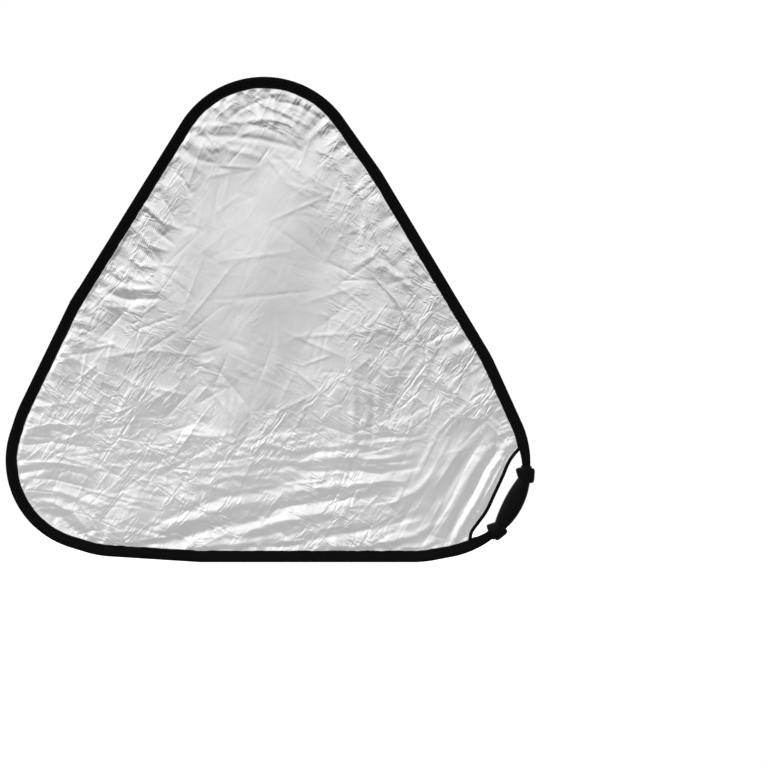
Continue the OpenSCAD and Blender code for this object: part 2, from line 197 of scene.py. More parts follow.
class Cloth:
    """Points, faces and cloth coordinates gathered for one piece."""

    def __init__(self):
        self.points, self.faces, self.uvs, self.normals, self.count = [], [], [], [], 0

    def add(self, points, faces, uv=None, normals=None):
        """Adds points (n, 3) and faces (m, 3 or 4), with one cloth coordinate a corner."""
        points = np.asarray(points, float).reshape(-1, 3)
        if uv is None:
            uv = points[faces][..., [0, 2]] * MM
        self.points.append(points)
        self.normals.append(np.zeros_like(points) if normals is None
                            else np.asarray(normals).reshape(-1, 3))
        self.faces.append(np.asarray(faces) + self.count)
        self.uvs.append(uv)
        self.count += len(points)

    def grid(self, points, u=None, v=None, round_v=False, flip=False, normals=None):
        """Adds a grid of points (nu, nv, 3); u and v are its cloth coordinates in metres."""
        nu, nv = points.shape[:2]
        cells = quads(nu, nv, round_v)
        if u is None:
            uv = points.reshape(-1, 3)[cells][..., [0, 2]] * MM
        else:
            across = np.append(v, v[-1] + (v[1] - v[0])) if round_v else v
            around = nv if round_v else nv - 1
            i, j = np.divmod(np.arange((nu - 1) * around), around)
            uu = np.stack([u[i], u[i + 1], u[i + 1], u[i]], -1)
            vv = np.stack([across[j], across[j], across[j + 1], across[j + 1]], -1)
            uv = np.stack([uu, vv], -1)
        if flip:
            cells, uv = cells[:, ::-1], uv[:, ::-1]
        self.add(points, cells, uv, normals)

    def cap(self, ring, flip=False):
        """Closes a ring of points (n, 3) with a fan about its middle."""
        n = len(ring)
        i = np.arange(n)
        tris = np.stack([i, (i + 1) % n, np.full(n, n)], -1)
        self.add(np.vstack([ring, ring.mean(0)]), tris[:, ::-1] if flip else tris)

    def make(self, name, paint, smooth=True):
        """Makes the piece's object, with its place in its mesh."""
        mesh = bpy.data.meshes.new(name)
        points = (np.vstack(self.points) - ORIGIN) * MM
        corners = np.concatenate([f.ravel() for f in self.faces])
        sizes = np.concatenate([np.full(len(f), f.shape[1]) for f in self.faces])
        mesh.vertices.add(len(points))
        mesh.vertices.foreach_set("co", points.ravel())
        mesh.loops.add(len(corners))
        mesh.loops.foreach_set("vertex_index", corners.astype(np.int32))
        mesh.polygons.add(len(sizes))
        starts = np.concatenate([[0], np.cumsum(sizes)[:-1]])
        mesh.polygons.foreach_set("loop_start", starts.astype(np.int32))
        layer = mesh.uv_layers.new(name="cloth")
        uv = np.concatenate([np.asarray(w).reshape(-1, 2) for w in self.uvs])
        layer.data.foreach_set("uv", uv.ravel().astype(np.float32))
        mesh.update(calc_edges=True)
        mesh.validate()
        if smooth:
            mesh.shade_smooth()
        normals = np.vstack(self.normals)
        if np.abs(normals).max() > 0:
            mesh.normals_split_custom_set_from_vertices(normals)
        mesh.materials.append(paint)
        piece = bpy.data.objects.new(name, mesh)
        bpy.context.scene.collection.objects.link(piece)
        return piece


def sew_across(piece):
    """Bakes the piece's placement into its mesh points."""
    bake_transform(piece)


def smooth_step(x):
    x = np.clip(x, 0, 1)
    return x * x * (3 - 2 * x)


def wander(s, seed, waves, longest, shortest):
    """Gentle irregular wave: a sum of sines with wavelengths between the two given."""
    rng = np.random.default_rng(seed)
    total = np.zeros(np.shape(s))
    for _ in range(waves):
        total = total + rng.uniform(0.4, 1) * np.sin(
            2 * math.pi * s / rng.uniform(shortest, longest) + rng.uniform(0, 6.3))
    return total / math.sqrt(waves)


# ---------------------------------------------------------------- woven binding and hoop

BINDING_W = 19.0
RIM_HALF = 4.8
TAPE_T = 0.75
# Folded tape, in from its outer edge: depth and squareness of the round nose, where the swell
# over the band is full, and the flat seam at the inner edge
NOSE_DEPTH, NOSE_POWER = 4.0, 3.4
FULL_DEPTH, SEAM_FLAT = 5.5, 3.0
SPLICE_LENGTH = 28.0
# Angle from the grip's middle to its mouths, and how far the band runs in from them, in degrees
MOUTH_DEG, BAND_INSIDE_DEG = 23.08, 13.1


def tape_profile(width, grow=0.0, edge=1.25, points=15):
    """Depth and half thickness of the folded tape from its inner edge to its outer fold: thin
    at the seam, a smooth swell over the band, then a tight round nose (superellipse)."""
    depth = np.concatenate([np.linspace(width, 4.5, points),
                            NOSE_DEPTH * (1 - np.sin(np.linspace(0, 1, 10) * math.pi / 2))])
    nose = np.clip(1 - depth / NOSE_DEPTH, 0, 1)
    half = (RIM_HALF + grow) * (1 - nose ** NOSE_POWER) ** (1 / NOSE_POWER)
    swell = smooth_step((width - SEAM_FLAT - depth) / (width - SEAM_FLAT - FULL_DEPTH))
    half = np.where(depth > NOSE_DEPTH, edge + (RIM_HALF - edge) * swell + grow, half)
    return depth - grow * (depth < NOSE_DEPTH), half


def folded_ring(width, grow=0.0):
    """Closed ring through the folded tape: outer skin from the front's inner edge round the
    nose to the back, and the inner skin back again."""
    depth, half = tape_profile(width, grow)
    d = np.concatenate([depth, depth[-2::-1]])
    y = np.concatenate([-half, half[-2::-1]])
    td, ty = np.gradient(d), np.gradient(y)
    size = np.hypot(td, ty)
    inner_d, inner_y = d + TAPE_T * ty / size, y - TAPE_T * td / size
    inner_d[0], inner_d[-1] = d[0], d[-1]
    inner_y[0], inner_y[-1] = y[0] + TAPE_T * 0.95, y[-1] - TAPE_T * 0.95
    return np.concatenate([d, inner_d[::-1]]), np.concatenate([y, inner_y[::-1]])


def swept(s, depth, y):
    """Points at length s along the rim, depth in from its outer edge and y to the back."""
    x, z, nx, nz = rim(s)
    return np.stack([x - depth * nx, np.broadcast_to(y, x.shape), z - depth * nz], -1)


def strips(k, depth):
    """Start and end lengths of piece k's strips of rim, for each depth."""
    flat = np.zeros_like(depth)
    if k == 5:
        return [(crossing(CUTS[4], depth, False), crossing(CUTS[4], depth, True))]
    top = crossing(CUTS[k], depth, False)
    base = crossing(CUTS[k], depth, True)
    if k == 0:
        return [(flat, top), (base, flat + S_END)]
    return [(crossing(CUTS[k - 1], depth, False), top),
            (base, crossing(CUTS[k - 1], depth, True))]


def girth_of(depth, y):
    """Length round a section's outline up to each of its points, in metres."""
    return np.concatenate([[0], np.cumsum(np.hypot(np.diff(depth), np.diff(y)))]) * MM


def inner_sway(s):
    """How far the tape's inner edge and its seam wander in or out along the rim."""
    return 0.42 * wander(s, 5, 9, 70, 16)


def rim_grid(cloth, s0, s1, depth, y, step):
    """Carries a closed ring along the rim between two slanting ends, with a slight wander of
    the inner edge and of the tape's thickness, and closes both ends."""
    count = max(3, int(np.ptp([s0.min(), s1.max()]) / step))
    u = np.linspace(0, 1, count)[:, None]
    s = s0[None, :] + u * (s1 - s0)[None, :]
    deep = depth[None, :] / BINDING_W
    d = depth[None, :] + inner_sway(s) * deep ** 2
    thick = 1 + (0.02 * wander(s, 8, 8, 60, 14) + 0.05 * wander(s, 6, 9, 26, 9)
                 * np.exp(-((deep - 0.62) / 0.22) ** 2))
    points = swept(s, d, y[None, :] * thick)
    cloth.grid(points, s.mean(1) * MM, girth_of(depth, y), round_v=True, flip=True)
    half = len(depth) // 2
    for end, flip in ((points[0], False), (points[-1], True)):
        wall = np.stack([end[:half], end[:half - 1:-1]])
        cloth.grid(wall, flip=flip)


def make_binding(k, paint):
    """Folded tape of piece k, along each of its strips of rim."""
    cloth = Cloth()
    depth, y = folded_ring(BINDING_W)
    for s0, s1 in strips(k, depth):
        rim_grid(cloth, s0, s1, depth, y, 4.0)
    return cloth.make(f"binding_{k + 1}", paint)


def make_spring(k, paint):
    """Flat band standing on edge inside the binding, ending inside the grip."""
    cloth = Cloth()
    depth = np.array([1.05, 1.05, 1.95, 1.95])
    y = np.array([-3.7, 3.7, 3.7, -3.7])
    tail = GRIP_TIP[2] * math.radians(MOUTH_DEG - BAND_INSIDE_DEG)
    for s0, s1 in strips(k, depth):
        if k == 0 and s0.max() == 0:
            s0 = s0 - GRIP_TIP[2] * (FREE_HI - GRIP_TURN) + tail
        elif k == 0:
            s1 = s1 + GRIP_TIP[2] * (GRIP_TURN - FREE_LO) - tail
        count = max(3, int(np.ptp([s0.min(), s1.max()]) / 5))
        s = s0 + np.linspace(0, 1, count)[:, None] * (s1 - s0)
        points = swept(s % S_TOTAL, depth[None, :], y[None, :])
        cloth.grid(points, s.mean(1) * MM, np.array([0, 7.4, 8.3, 15.7]) * MM, round_v=True,
                   flip=True)
        cloth.cap(points[0], flip=True)
        cloth.cap(points[-1])
    return cloth.make(f"spring_{k + 1}", paint, smooth=False)


def stitch_row(cloth, centres, along, out, length, radius, bow=0.25):
    """Short stitches: capsules with a hexagonal section, bowed off the cloth at their middle.
    centres, along and out are (n, 3); out faces off the cloth."""
    side = np.cross(along, out)
    t = np.array([-0.5, -0.42, -0.2, 0.2, 0.42, 0.5])
    fat = np.array([0.15, 0.75, 1.0, 1.0, 0.75, 0.15])
    lift = bow * (1 - (2 * t) ** 2) - 0.2 * (np.abs(t) > 0.45)
    ring = np.arange(6) * math.pi / 3
    shape = (t[:, None, None] * length * along[:, None, None, :]
             + (lift[:, None, None] + fat[:, None, None] * radius * np.sin(ring)[None, :, None])
             * out[:, None, None, :]
             + fat[:, None, None] * radius * 1.15 * np.cos(ring)[None, :, None]
             * side[:, None, None, :])
    points = centres[:, None, None, :] + shape
    cells = quads(6, 6, round_v=True)
    ends = np.array([[0, 1, 2, 5], [2, 3, 4, 5], [33, 32, 31, 30], [35, 34, 33, 30]])
    cells = np.vstack([cells, ends])
    faces = (cells[None] + np.arange(len(centres))[:, None, None] * 36).reshape(-1, 4)
    cloth.add(points.reshape(-1, 3), faces)


def off_cloth(along, face):
    """Directions straight off the front (face -1) or the back (face 1), one for each stitch."""
    return np.zeros_like(along) + np.array([0, face, 0])


def unit(rows):
    """The rows, each made one long."""
    return rows / np.linalg.norm(rows, axis=1, keepdims=True)


def make_stitches(k, paint):
    """Lockstitch through the binding, front and back, just outside its inner edge."""
    cloth = Cloth()
    pitch, depth = 4.2, 16.9
    s = np.arange(6.0, S_END - 6.0, pitch)
    x, z, nx, nz = rim(s)
    right = 1e9 if k == 0 else CUTS[k - 1]
    left = -1e9 if k == 5 else CUTS[k]
    deep = depth + inner_sway(s) * (depth / BINDING_W) ** 2
    keep = (x - deep * nx <= right) & (x - deep * nx > left)
    s, deep = s[keep], deep[keep]
    x, z, nx, nz = rim(s)
    zero = np.zeros_like(nx)
    along = np.stack([-nz, zero, nx], -1)
    tape_depth, tape_half = tape_profile(BINDING_W)
    surface = np.interp(depth, tape_depth[::-1], tape_half[::-1])
    for face in (-1.0, 1.0):
        centres = np.stack([x - deep * nx, zero + face * (surface + 0.02), z - deep * nz], -1)
        stitch_row(cloth, centres, along, off_cloth(along, face), length=3.3, radius=0.3)
    return cloth.make(f"rim_stitches_{k + 1}", paint)


# ---------------------------------------------------------------- the two cloths

# Free edge of the cloths beside the grip: distance along the grip and out from its axis
EDGE_V = np.array([-110.0, -92, -87, -76, -58, -35, 0, 30, 63, 75, 85, 92, 110])
EDGE_SWAY = np.array([0.5, -0.5, -1.6, -5.0, -2.7, 1.5, 1.8, 1.5, 1.1, 3.6, 6.4, 7.0, 8.0])
GRIP_OUT = np.array([math.cos(GRIP_TURN), math.sin(GRIP_TURN)])
GRIP_UP = np.array([-math.sin(GRIP_TURN), math.cos(GRIP_TURN)])


def smooth_line(at, xs, ys):
    """Smooth curve through the points xs, ys: cubic steps with averaged slopes."""
    slope = np.gradient(ys, xs)
    i = np.clip(np.searchsorted(xs, at) - 1, 0, len(xs) - 2)
    h = xs[i + 1] - xs[i]
    t = np.clip((at - xs[i]) / h, 0, 1)
    return ((2 * t ** 3 - 3 * t ** 2 + 1) * ys[i] + (t ** 3 - 2 * t ** 2 + t) * h * slope[i]
            + (3 * t ** 2 - 2 * t ** 3) * ys[i + 1] + (t ** 3 - t ** 2) * h * slope[i + 1])


def free_edge(v, inward=0.0):
    """Point of the cloths' free edge at distance v along the grip, moved inward."""
    u = -33.0 - math.tan(math.radians(2)) * v + smooth_line(v, EDGE_V, EDGE_SWAY) - inward
    point = ORIGIN[[0, 2]] + u[..., None] * GRIP_OUT + v[..., None] * GRIP_UP
    return point[..., 0], point[..., 1]


HEM_DEPTH = 12.0
# Stretch of the free edge beside the grip, along the grip, and the width of its tape
EDGE_LOW, EDGE_HIGH, EDGE_TAPE_W = -108.0, 105.0, 5.5
# Hidden and seen face of each cloth, off the panel's middle plane
CLOTH_HIDDEN, CLOTH_SEEN = 0.07, 0.40


def cloth_limits(columns):
    """Lowest and highest point of the cloths in each column: a line inside the binding, and
    beside the grip the free edge."""
    s = np.linspace(0, S_TOTAL, 9000)
    x, z, nx, nz = rim(s)
    x, z = x - HEM_DEPTH * nx, z - HEM_DEPTH * nz
    upper = s <= S_LEFT
    lower = ~upper & (s < S_TOTAL - GRIP_TIP[2] * (FREE_HI - GRIP_TURN) * 0.8)
    top = np.interp(columns, x[upper][::-1], z[upper][::-1])
    base = np.interp(columns, x[lower], z[lower])
    ex, ez = free_edge(np.linspace(EDGE_LOW, EDGE_HIGH, 400), 1.2)
    edge = np.interp(columns, ex, ez, left=-1e9)
    return np.maximum(base, edge), top


# Listed folds: width, height, 1 if its crest is sharp, then the points along it
FOLDS = (
    (3.2, 0.6, 1, (-87, 733), (-59, 756), (-30, 766)),
    (3.8, -0.56, 0, (-76, 720), (-46, 746), (-10, 763), (26, 768)),
    (3.8, 0.77, 0, (-30, 776), (-10, 756), (23, 743), (73, 716)),
    (3.2, -0.65, 0, (-10, 779), (13, 761), (50, 753), (96, 726)),
    (3.8, 0.65, 0, (-40, 756), (-10, 733), (30, 726), (63, 697)),
    (3.8, -0.51, 0, (-59, 743), (-30, 723), (13, 711), (53, 680)),
    (3.2, 0.51, 1, (13, 776), (40, 769), (76, 749), (102, 716)),
    (2.5, 0.39, 1, (-46, 769), (-36, 743)),
    (2.5, -0.39, 1, (-20, 773), (-16, 749)),
    (2.5, 0.39, 1, (-66, 749), (-50, 726)),
    (2.5, 0.34, 1, (36, 756), (46, 733)),
    (5.8, 0.73, 0, (-127, 716), (-71, 723), (-10, 730), (53, 723)),
    (5.1, -0.69, 0, (-129, 702), (-69, 703), (-10, 697), (59, 680)),
    (5.8, 0.51, 0, (-132, 687), (-76, 683), (-30, 674), (23, 654)),
    (3.2, 0.39, 1, (-119, 710), (-86, 697), (-53, 680)),
    (4.4, -0.39, 0, (-135, 670), (-96, 660), (-59, 644)),
    (3.8, 0.43, 1, (69, 703), (82, 680), (109, 664)),
    (5, -1.2, 1, (-160, 650), (-142, 634), (-125, 604)),
    (5, -1.2, 1, (-182, 611), (-165, 588), (-152, 555)),
    (4, 1.3, 1, (-195, 581), (-173, 561), (-142, 548)),
    (4, -1.2, 1, (-201, 561), (-182, 545), (-152, 522)),
    (4, 1.3, 1, (-214, 545), (-195, 522), (-162, 512)),
    (4, -1.1, 1, (-221, 525), (-198, 505), (-175, 485)),
    (4, 1.1, 1, (-231, 505), (-211, 489), (-178, 485)),
    (5, -1, 0, (-195, 522), (-178, 495), (-172, 462)),
    (5, 1, 1, (-244, 485), (-218, 466), (-182, 459)),
    (6, 1.3, 0, (-261, 459), (-221, 449), (-168, 449)),
    (5, -1.3, 0, (-274, 446), (-231, 433), (-172, 436)),
    (6, 0.9, 1, (-280, 426), (-238, 419), (-195, 406)),
    (4, 0.35, 1, (-2, 561), (119, 614)),
    (4, -0.35, 1, (-2, 561), (86, 499)),
    (4, 0.3, 1, (-112, 631), (-46, 512)),
    (4, 0.35, 1, (-89, 495), (53, 515)),
    (4, 0.4, 1, (86, 499), (129, 383)),
    (4, -0.35, 1, (-63, 433), (86, 449)),
    (4, 0.4, 1, (-145, 383), (-53, 495)),
    (5, -1.3, 1, (139, 634), (148, 588), (165, 535)),
    (5, 1.1, 1, (152, 621), (162, 575), (182, 522)),
    (4, 0.9, 1, (125, 650), (135, 614)),
    (5, 0.9, 0, (162, 575), (155, 532), (168, 485)),
    (4, 1.2, 1, (172, 474), (210, 433), (234, 391)),
    (6, -1.2, 0, (178, 515), (205, 485), (234, 462)),
    (6, 1.2, 0, (188, 495), (221, 469), (248, 433)),
    (6, -1, 0, (182, 466), (211, 423), (224, 373)),
    (6, 0.9, 1, (224, 433), (244, 390), (267, 347)),
    (6, -0.8, 0, (251, 383), (271, 340), (297, 307)),
    (7, 0.9, 0, (277, 314), (304, 281), (333, 261)),
    (4, 0.7, 1, (-170, 152), (-96, 259)),
    (4, -0.7, 1, (-178, 141), (-76, 202)),
    (3, 0.8, 1, (-264, 243), (-223, 256)),
    (4, -0.6, 1, (-277, 218), (-203, 231)),
    (4, 0.6, 1, (-384, 256), (-310, 264)),
    (5, 0.5, 1, (-294, 334), (-195, 350), (-102, 340)),
    (4, -0.5, 1, (-102, 340), (-13, 235)),
    (4, 0.5, 1, (-13, 235), (86, 281)),
    (4, 0.5, 1, (-46, 367), (-10, 235)),
    (4, -0.5, 1, (-195, 350), (-158, 235)),
    (4, 0.4, 1, (20, 383), (135, 334)),
    (6, 0.9, 0, (135, 353), (142, 268), (139, 169)),
    (6, -0.9, 0, (165, 347), (175, 268), (168, 182)),
    (5, 0.6, 1, (112, 268), (122, 182)),
    (5, 0.6, 1, (191, 350), (205, 281), (195, 218)),
    (4, -0.5, 1, (46, 268), (86, 152)),
    (4, 0.6, 1, (-63, 185), (53, 208)),
    (4, 0.5, 1, (-343, 350), (-261, 301)),
    (4, -0.5, 1, (-317, 383), (-284, 274)),
    (6, 1.3, 0, (53, 165), (119, 175), (191, 169), (251, 182)),
    (6, -1.3, 0, (46, 146), (116, 152), (185, 146), (257, 159)),
    (5, 1, 1, (73, 132), (145, 129), (214, 136)),
    (6, -0.8, 0, (-30, 152), (30, 159), (82, 146)),
    (5.7, 0.7, 0, (-129, 126), (-53, 142), (20, 136)),
    (9, -2.03, 0, (-228, 17), (-152, 37), (-69, 60), (30, 76)),
    (8.2, 1.48, 0, (-211, 40), (-139, 66), (-59, 93), (23, 106)),
    (6.6, -0.86, 0, (-195, 60), (-112, 93), (-26, 119)),
    (8.2, 1.79, 0, (-53, 47), (13, 66), (69, 76), (139, 83)),
    (7.4, -1.72, 0, (-30, 76), (40, 93), (112, 103), (205, 113)),
    (6.6, 1.09, 0, (-10, 103), (59, 119), (139, 126), (224, 132)),
    (7.4, -1.48, 0, (46, 33), (122, 47), (201, 60), (264, 83)),
    (6.6, 1.17, 0, (86, 17), (162, 27), (238, 43), (294, 70)),
    (6.6, 1.09, 0, (-152, 10), (-86, 27), (-10, 33), (56, 37)),
    (8, 1.2, 0, (195, 93), (244, 116), (284, 152)),
    (6, 1.2, 1, (-406, 218), (-360, 228), (-290, 225)),
    (6, -1.2, 1, (-408, 192), (-356, 198), (-284, 188)),
    (6, 1.3, 1, (-408, 165), (-353, 165), (-280, 152)),
    (6, -1.2, 1, (-406, 139), (-350, 136), (-284, 119)),
    (6, 1.1, 0, (-399, 116), (-343, 116), (-271, 89)),
    (6, 2, 0, (-389, 101), (-353, 98), (-320, 81), (-285, 32)),
    (6.6, -1.4, 0, (-376, 83), (-343, 75), (-317, 50), (-307, 28)),
    (5.7, 0.78, 0, (-261, 70), (-244, 43), (-221, 17)),
    (4, 1, 1, (-343, 37), (-314, 27), (-284, 14)),
    (6, 1.4, 0, (406, 208), (370, 152), (333, 83), (304, 27)),
    (6, -1.7, 0, (389, 202), (353, 146), (320, 80), (290, 23)),
    (7, 1.3, 0, (373, 205), (337, 149), (300, 86), (267, 27)),
    (7, -1.1, 0, (353, 208), (320, 159), (284, 96)),
    (5, -1.2, 1, (363, 165), (346, 126), (327, 89)),
    (8, 0.8, 0, (333, 215), (297, 159), (257, 103)),
    (4, 1, 1, (393, 175), (373, 136), (350, 93)),
    (4, -1, 1, (327, 113), (310, 70), (294, 37)),
    (6, 0.9, 0, (284, 37), (251, 23), (211, 17)),
)


def fold_height(x, z, width, height, sharp, line):
    """One fold along a line of points: its height falls off to both sides, as a bell or, for a
    sharp crease, as a tent, and fades out towards both ends."""
    line = np.array(line, float)
    steps = np.diff(line, axis=0)
    lengths = np.hypot(*steps.T)
    starts = np.concatenate([[0], np.cumsum(lengths)])
    near, place = np.full(x.shape, 1e9), np.zeros(x.shape)
    for (px, pz), (dx, dz), length, start in zip(line, steps, lengths, starts):
        t = np.clip(((x - px) * dx + (z - pz) * dz) / length ** 2, 0, 1)
        away = np.hypot(x - px - t * dx, z - pz - t * dz)
        closer = away < near
        near, place = np.where(closer, away, near), np.where(closer, start + t * length, place)
    share = place / starts[-1]
    fade = np.sin(math.pi * np.clip(share, 0, 1)) ** 0.7
    shape = np.exp(-near / (0.8 * width)) if sharp else np.exp(-(near / width) ** 2)
    return height * fade * shape


def fold_field(x, z):
    """All listed folds, each worked out only where it reaches."""
    total = np.zeros(x.shape)
    for width, height, sharp, *line in FOLDS:
        px, pz = np.array(line, float).T
        reach = 4.0 * width
        hit = ((x > px.min() - reach) & (x < px.max() + reach)
               & (z > pz.min() - reach) & (z < pz.max() + reach))
        total[hit] += fold_height(x[hit], z[hit], width, height, sharp, line)
    return total


def crease_field(x, z, seed, count, low, high, box=(-400, 400, 10, 790), turns=(0, math.pi)):
    """Web of short straight creases with sharp crests, scattered over a box of the cloth."""
    rng = np.random.default_rng(seed)
    total = np.zeros(x.shape)
    for _ in range(count):
        cx, cz = rng.uniform(*box[:2]), rng.uniform(*box[2:])
        turn, half = rng.uniform(*turns), rng.uniform(14, 62)
        width, height = rng.uniform(1.6, 5.0), rng.uniform(low, high) * rng.choice((-1, 1))
        hit = (np.abs(x - cx) < half + 8) & (np.abs(z - cz) < half + 8)
        if not hit.any():
            continue
        dx, dz = x[hit] - cx, z[hit] - cz
        along = (dx * math.cos(turn) + dz * math.sin(turn)) / half
        across = -dx * math.sin(turn) + dz * math.cos(turn)
        total[hit] += height * np.exp(-np.abs(across) / width) * np.clip(1 - along ** 2, 0, 1)
    return total


def swell_field(x, z, seed, count, longest, shortest):
    """Soft undulation: plane waves of many directions and wavelengths."""
    rng = np.random.default_rng(seed)
    total = np.zeros(x.shape)
    for _ in range(count):
        turn, wave = rng.uniform(0, math.pi), rng.uniform(shortest, longest)
        total += rng.uniform(0.5, 1) * np.sin(
            2 * math.pi * (x * math.cos(turn) + z * math.sin(turn)) / wave
            + rng.uniform(0, 6.3))
    return total / math.sqrt(count)


def gathers(s, depth):
    """Small puckers square to the binding that die out within a few centimetres."""
    fine = wander(s, 21, 14, 15, 6)
    broad = wander(s, 22, 10, 46, 18)
    busy = 0.35 + 0.65 * smooth_step(0.5 + 0.5 * wander(s, 23, 5, 260, 90))
    inside = np.maximum(depth - BINDING_W, 0)
    return busy * (0.48 * fine * np.exp(-inside / 7) + 1.15 * broad * np.exp(-inside / 22))


def relief(x, z):
    """How far the two cloths stand towards the front: what they share, and what only the
    silver one has. Both are held flat where the binding and the edge tape pinch them."""
    s, depth = rim_place(x, z)
    ex, ez = free_edge(np.array([EDGE_LOW]), EDGE_TAPE_W)
    along = (x - ex[0]) * GRIP_UP[0] + (z - ez[0]) * GRIP_UP[1]
    along = np.clip(along, 0, EDGE_HIGH - EDGE_LOW) + EDGE_LOW
    bx, bz = free_edge(along, EDGE_TAPE_W)
    from_edge = -((x - bx) * GRIP_OUT[0] + (z - bz) * GRIP_OUT[1])
    held = smooth_step((depth - BINDING_W) / 7) * smooth_step(from_edge / 7)
    calm = np.exp(-(((x + 15) / 165) ** 2 + ((z - 480) / 170) ** 2) ** 2)
    shared = (0.9 * swell_field(x, z, 31, 14, 330, 150)
              + 0.35 * (1 - 0.75 * calm) * swell_field(x, z, 32, 16, 90, 45)
              + 0.9 * (1 - 0.35 * calm) * fold_field(x, z) + gathers(s, depth))
    calm = np.maximum(calm, np.exp(-(((x - 265) / 75) ** 2 + ((z - 130) / 85) ** 2) ** 2))
    web = crease_field(x, z, 41, 900, 0.12, 0.55) * (1 - 0.85 * calm)
    web += crease_field(x, z, 47, 240, 0.2, 0.6, (-340, 225, 22, 225), (-0.4, 0.5))
    web += crease_field(x, z, 48, 50, 0.15, 0.4, (215, 345, 60, 190), (0.95, 1.15))
    return held, held * shared, held * web


def cloth_columns(step):
    """Columns of the cloths from left to right, one on every cut, closer at the two tips."""
    ends = [-PANEL_HALF + HEM_DEPTH + 0.3] + CUTS[::-1] + [right_end()]
    columns, marks = [np.array([ends[0]])], [0]
    for i, (a, b) in enumerate(zip(ends, ends[1:])):
        count = int(round((b - a) / step))
        t = np.linspace(0, 1, count + 1)[1:]
        if i == 0:
            t = t ** 1.35
        if i == len(ends) - 2:
            t = 1 - (1 - t) ** 1.35
        columns.append(a + t * (b - a))
        marks.append(marks[-1] + count)
    return np.concatenate(columns), marks


def right_end():
    """Rightmost column in which the cloths still have some height."""
    tries = np.linspace(330, 430, 4000)
    low, high = cloth_limits(tries)
    return tries[high - low > 0.4].max()


def make_cloths(name, paint, step, rows, face):
    """The whole cloth as one grid of columns, cut into pieces at the middles of the leaves,
    so that neighbours share their edge's points and normals. face is -1 for the front."""
    columns, marks = cloth_columns(step)
    low, high = cloth_limits(columns)
    t = np.linspace(0, 1, rows)[None, :]
    z = low[:, None] + t * (high - low)[:, None]
    x = np.broadcast_to(columns[:, None], z.shape)
    held, shared, web = relief(x, z)
    stand = shared - 1.05 * np.abs(web) - 0.15 * held if face > 0 else shared + web
    seen = np.stack([x, face * CLOTH_SEEN - stand, z], -1)
    hidden = np.stack([x, face * CLOTH_HIDDEN - stand, z], -1)
    du, dv = np.gradient(seen, axis=0), np.gradient(seen, axis=1)
    normals = np.cross(dv, du)
    normals /= np.maximum(np.linalg.norm(normals, axis=-1, keepdims=True), 1e-9)
    normals *= np.where(normals[..., 1:2] * face < 0, -1, 1)
    pieces = []
    for k in range(6):
        a, b = marks[5 - k], marks[6 - k]
        cloth = Cloth()
        part = slice(a, b + 1)
        front, back = seen[part], hidden[part]
        cloth.grid(front, flip=face > 0, normals=normals[part])
        cloth.grid(back, flip=face < 0, normals=-normals[part])
        walls = ((front[:, 0], back[:, 0], False), (front[:, -1], back[:, -1], True),
                 (front[0], back[0], True), (front[-1], back[-1], False))
        for edge, other, flip in walls:
            out = np.zeros((2, len(edge), 3)) + (edge.mean(0) - front.reshape(-1, 3).mean(0))
            cloth.grid(np.stack([edge, other]), flip=flip == (face < 0), normals=out)
        piece = cloth.make(f"{name}_{k + 1}", paint)
        spans = high[part] - low[part]
        width = float(columns[b] - columns[a]) * MM
        length = float(np.ptp([low[part].min(), high[part].max()])) * MM
        area = float(np.sum((spans[1:] + spans[:-1]) / 2 * np.diff(columns[part]))) * MM * MM
        pieces.append((piece, (round(width, 4), round(length, 4)), round(area, 5)))
    return pieces


# ---------------------------------------------------------------- free edge, splice, sleeves

def ring_along(cloth, centre, inward, depth, y, step_lengths):
    """Carries a closed ring along a line of centres; depth counts along inward (n, 2)."""
    points = np.empty((len(centre), len(depth), 3))
    points[..., 0] = centre[:, 0, None] + depth * inward[:, 0, None]
    points[..., 1] = y
    points[..., 2] = centre[:, 1, None] + depth * inward[:, 1, None]
    cloth.grid(points, step_lengths * MM, girth_of(depth, y), round_v=True)
    cloth.cap(points[0], flip=True)
    cloth.cap(points[-1])


def edge_span(depth_limit):
    """Distances along the grip between which the free edge lies deeper than the limit."""
    v = np.linspace(EDGE_LOW, EDGE_HIGH, 900)
    x, z = free_edge(v)
    _s, depth = rim_place(x, z)
    inside = v[depth > depth_limit]
    return inside.min(), inside.max()


def make_edge_tape(paint):
    """Narrow tape folded over the cloths' free edge, running under the binding at both ends."""
    low, high = edge_span(13.5)
    v = np.linspace(low, high, 110)
    x, z = free_edge(v)
    along = unit(np.stack([np.gradient(x), np.gradient(z)], -1))
    inward = np.stack([-along[:, 1], along[:, 0]], -1)
    d = np.array([EDGE_TAPE_W, 5.3, 4.2, 2.6, 1.1, 0.2, -0.2])
    half = np.array([0.75, 1.05, 1.05, 1.3, 1.35, 1.05, 0.45])
    ripple = 1 + 0.05 * wander(v, 61, 8, 22, 8)[:, None]
    cloth = Cloth()
    depth = np.concatenate([d, d[::-1]])
    y = np.concatenate([half, -half[::-1]])
    ring_along(cloth, np.stack([x, z], -1), inward, depth, y * ripple, v)
    return cloth.make("edge_tape", paint)


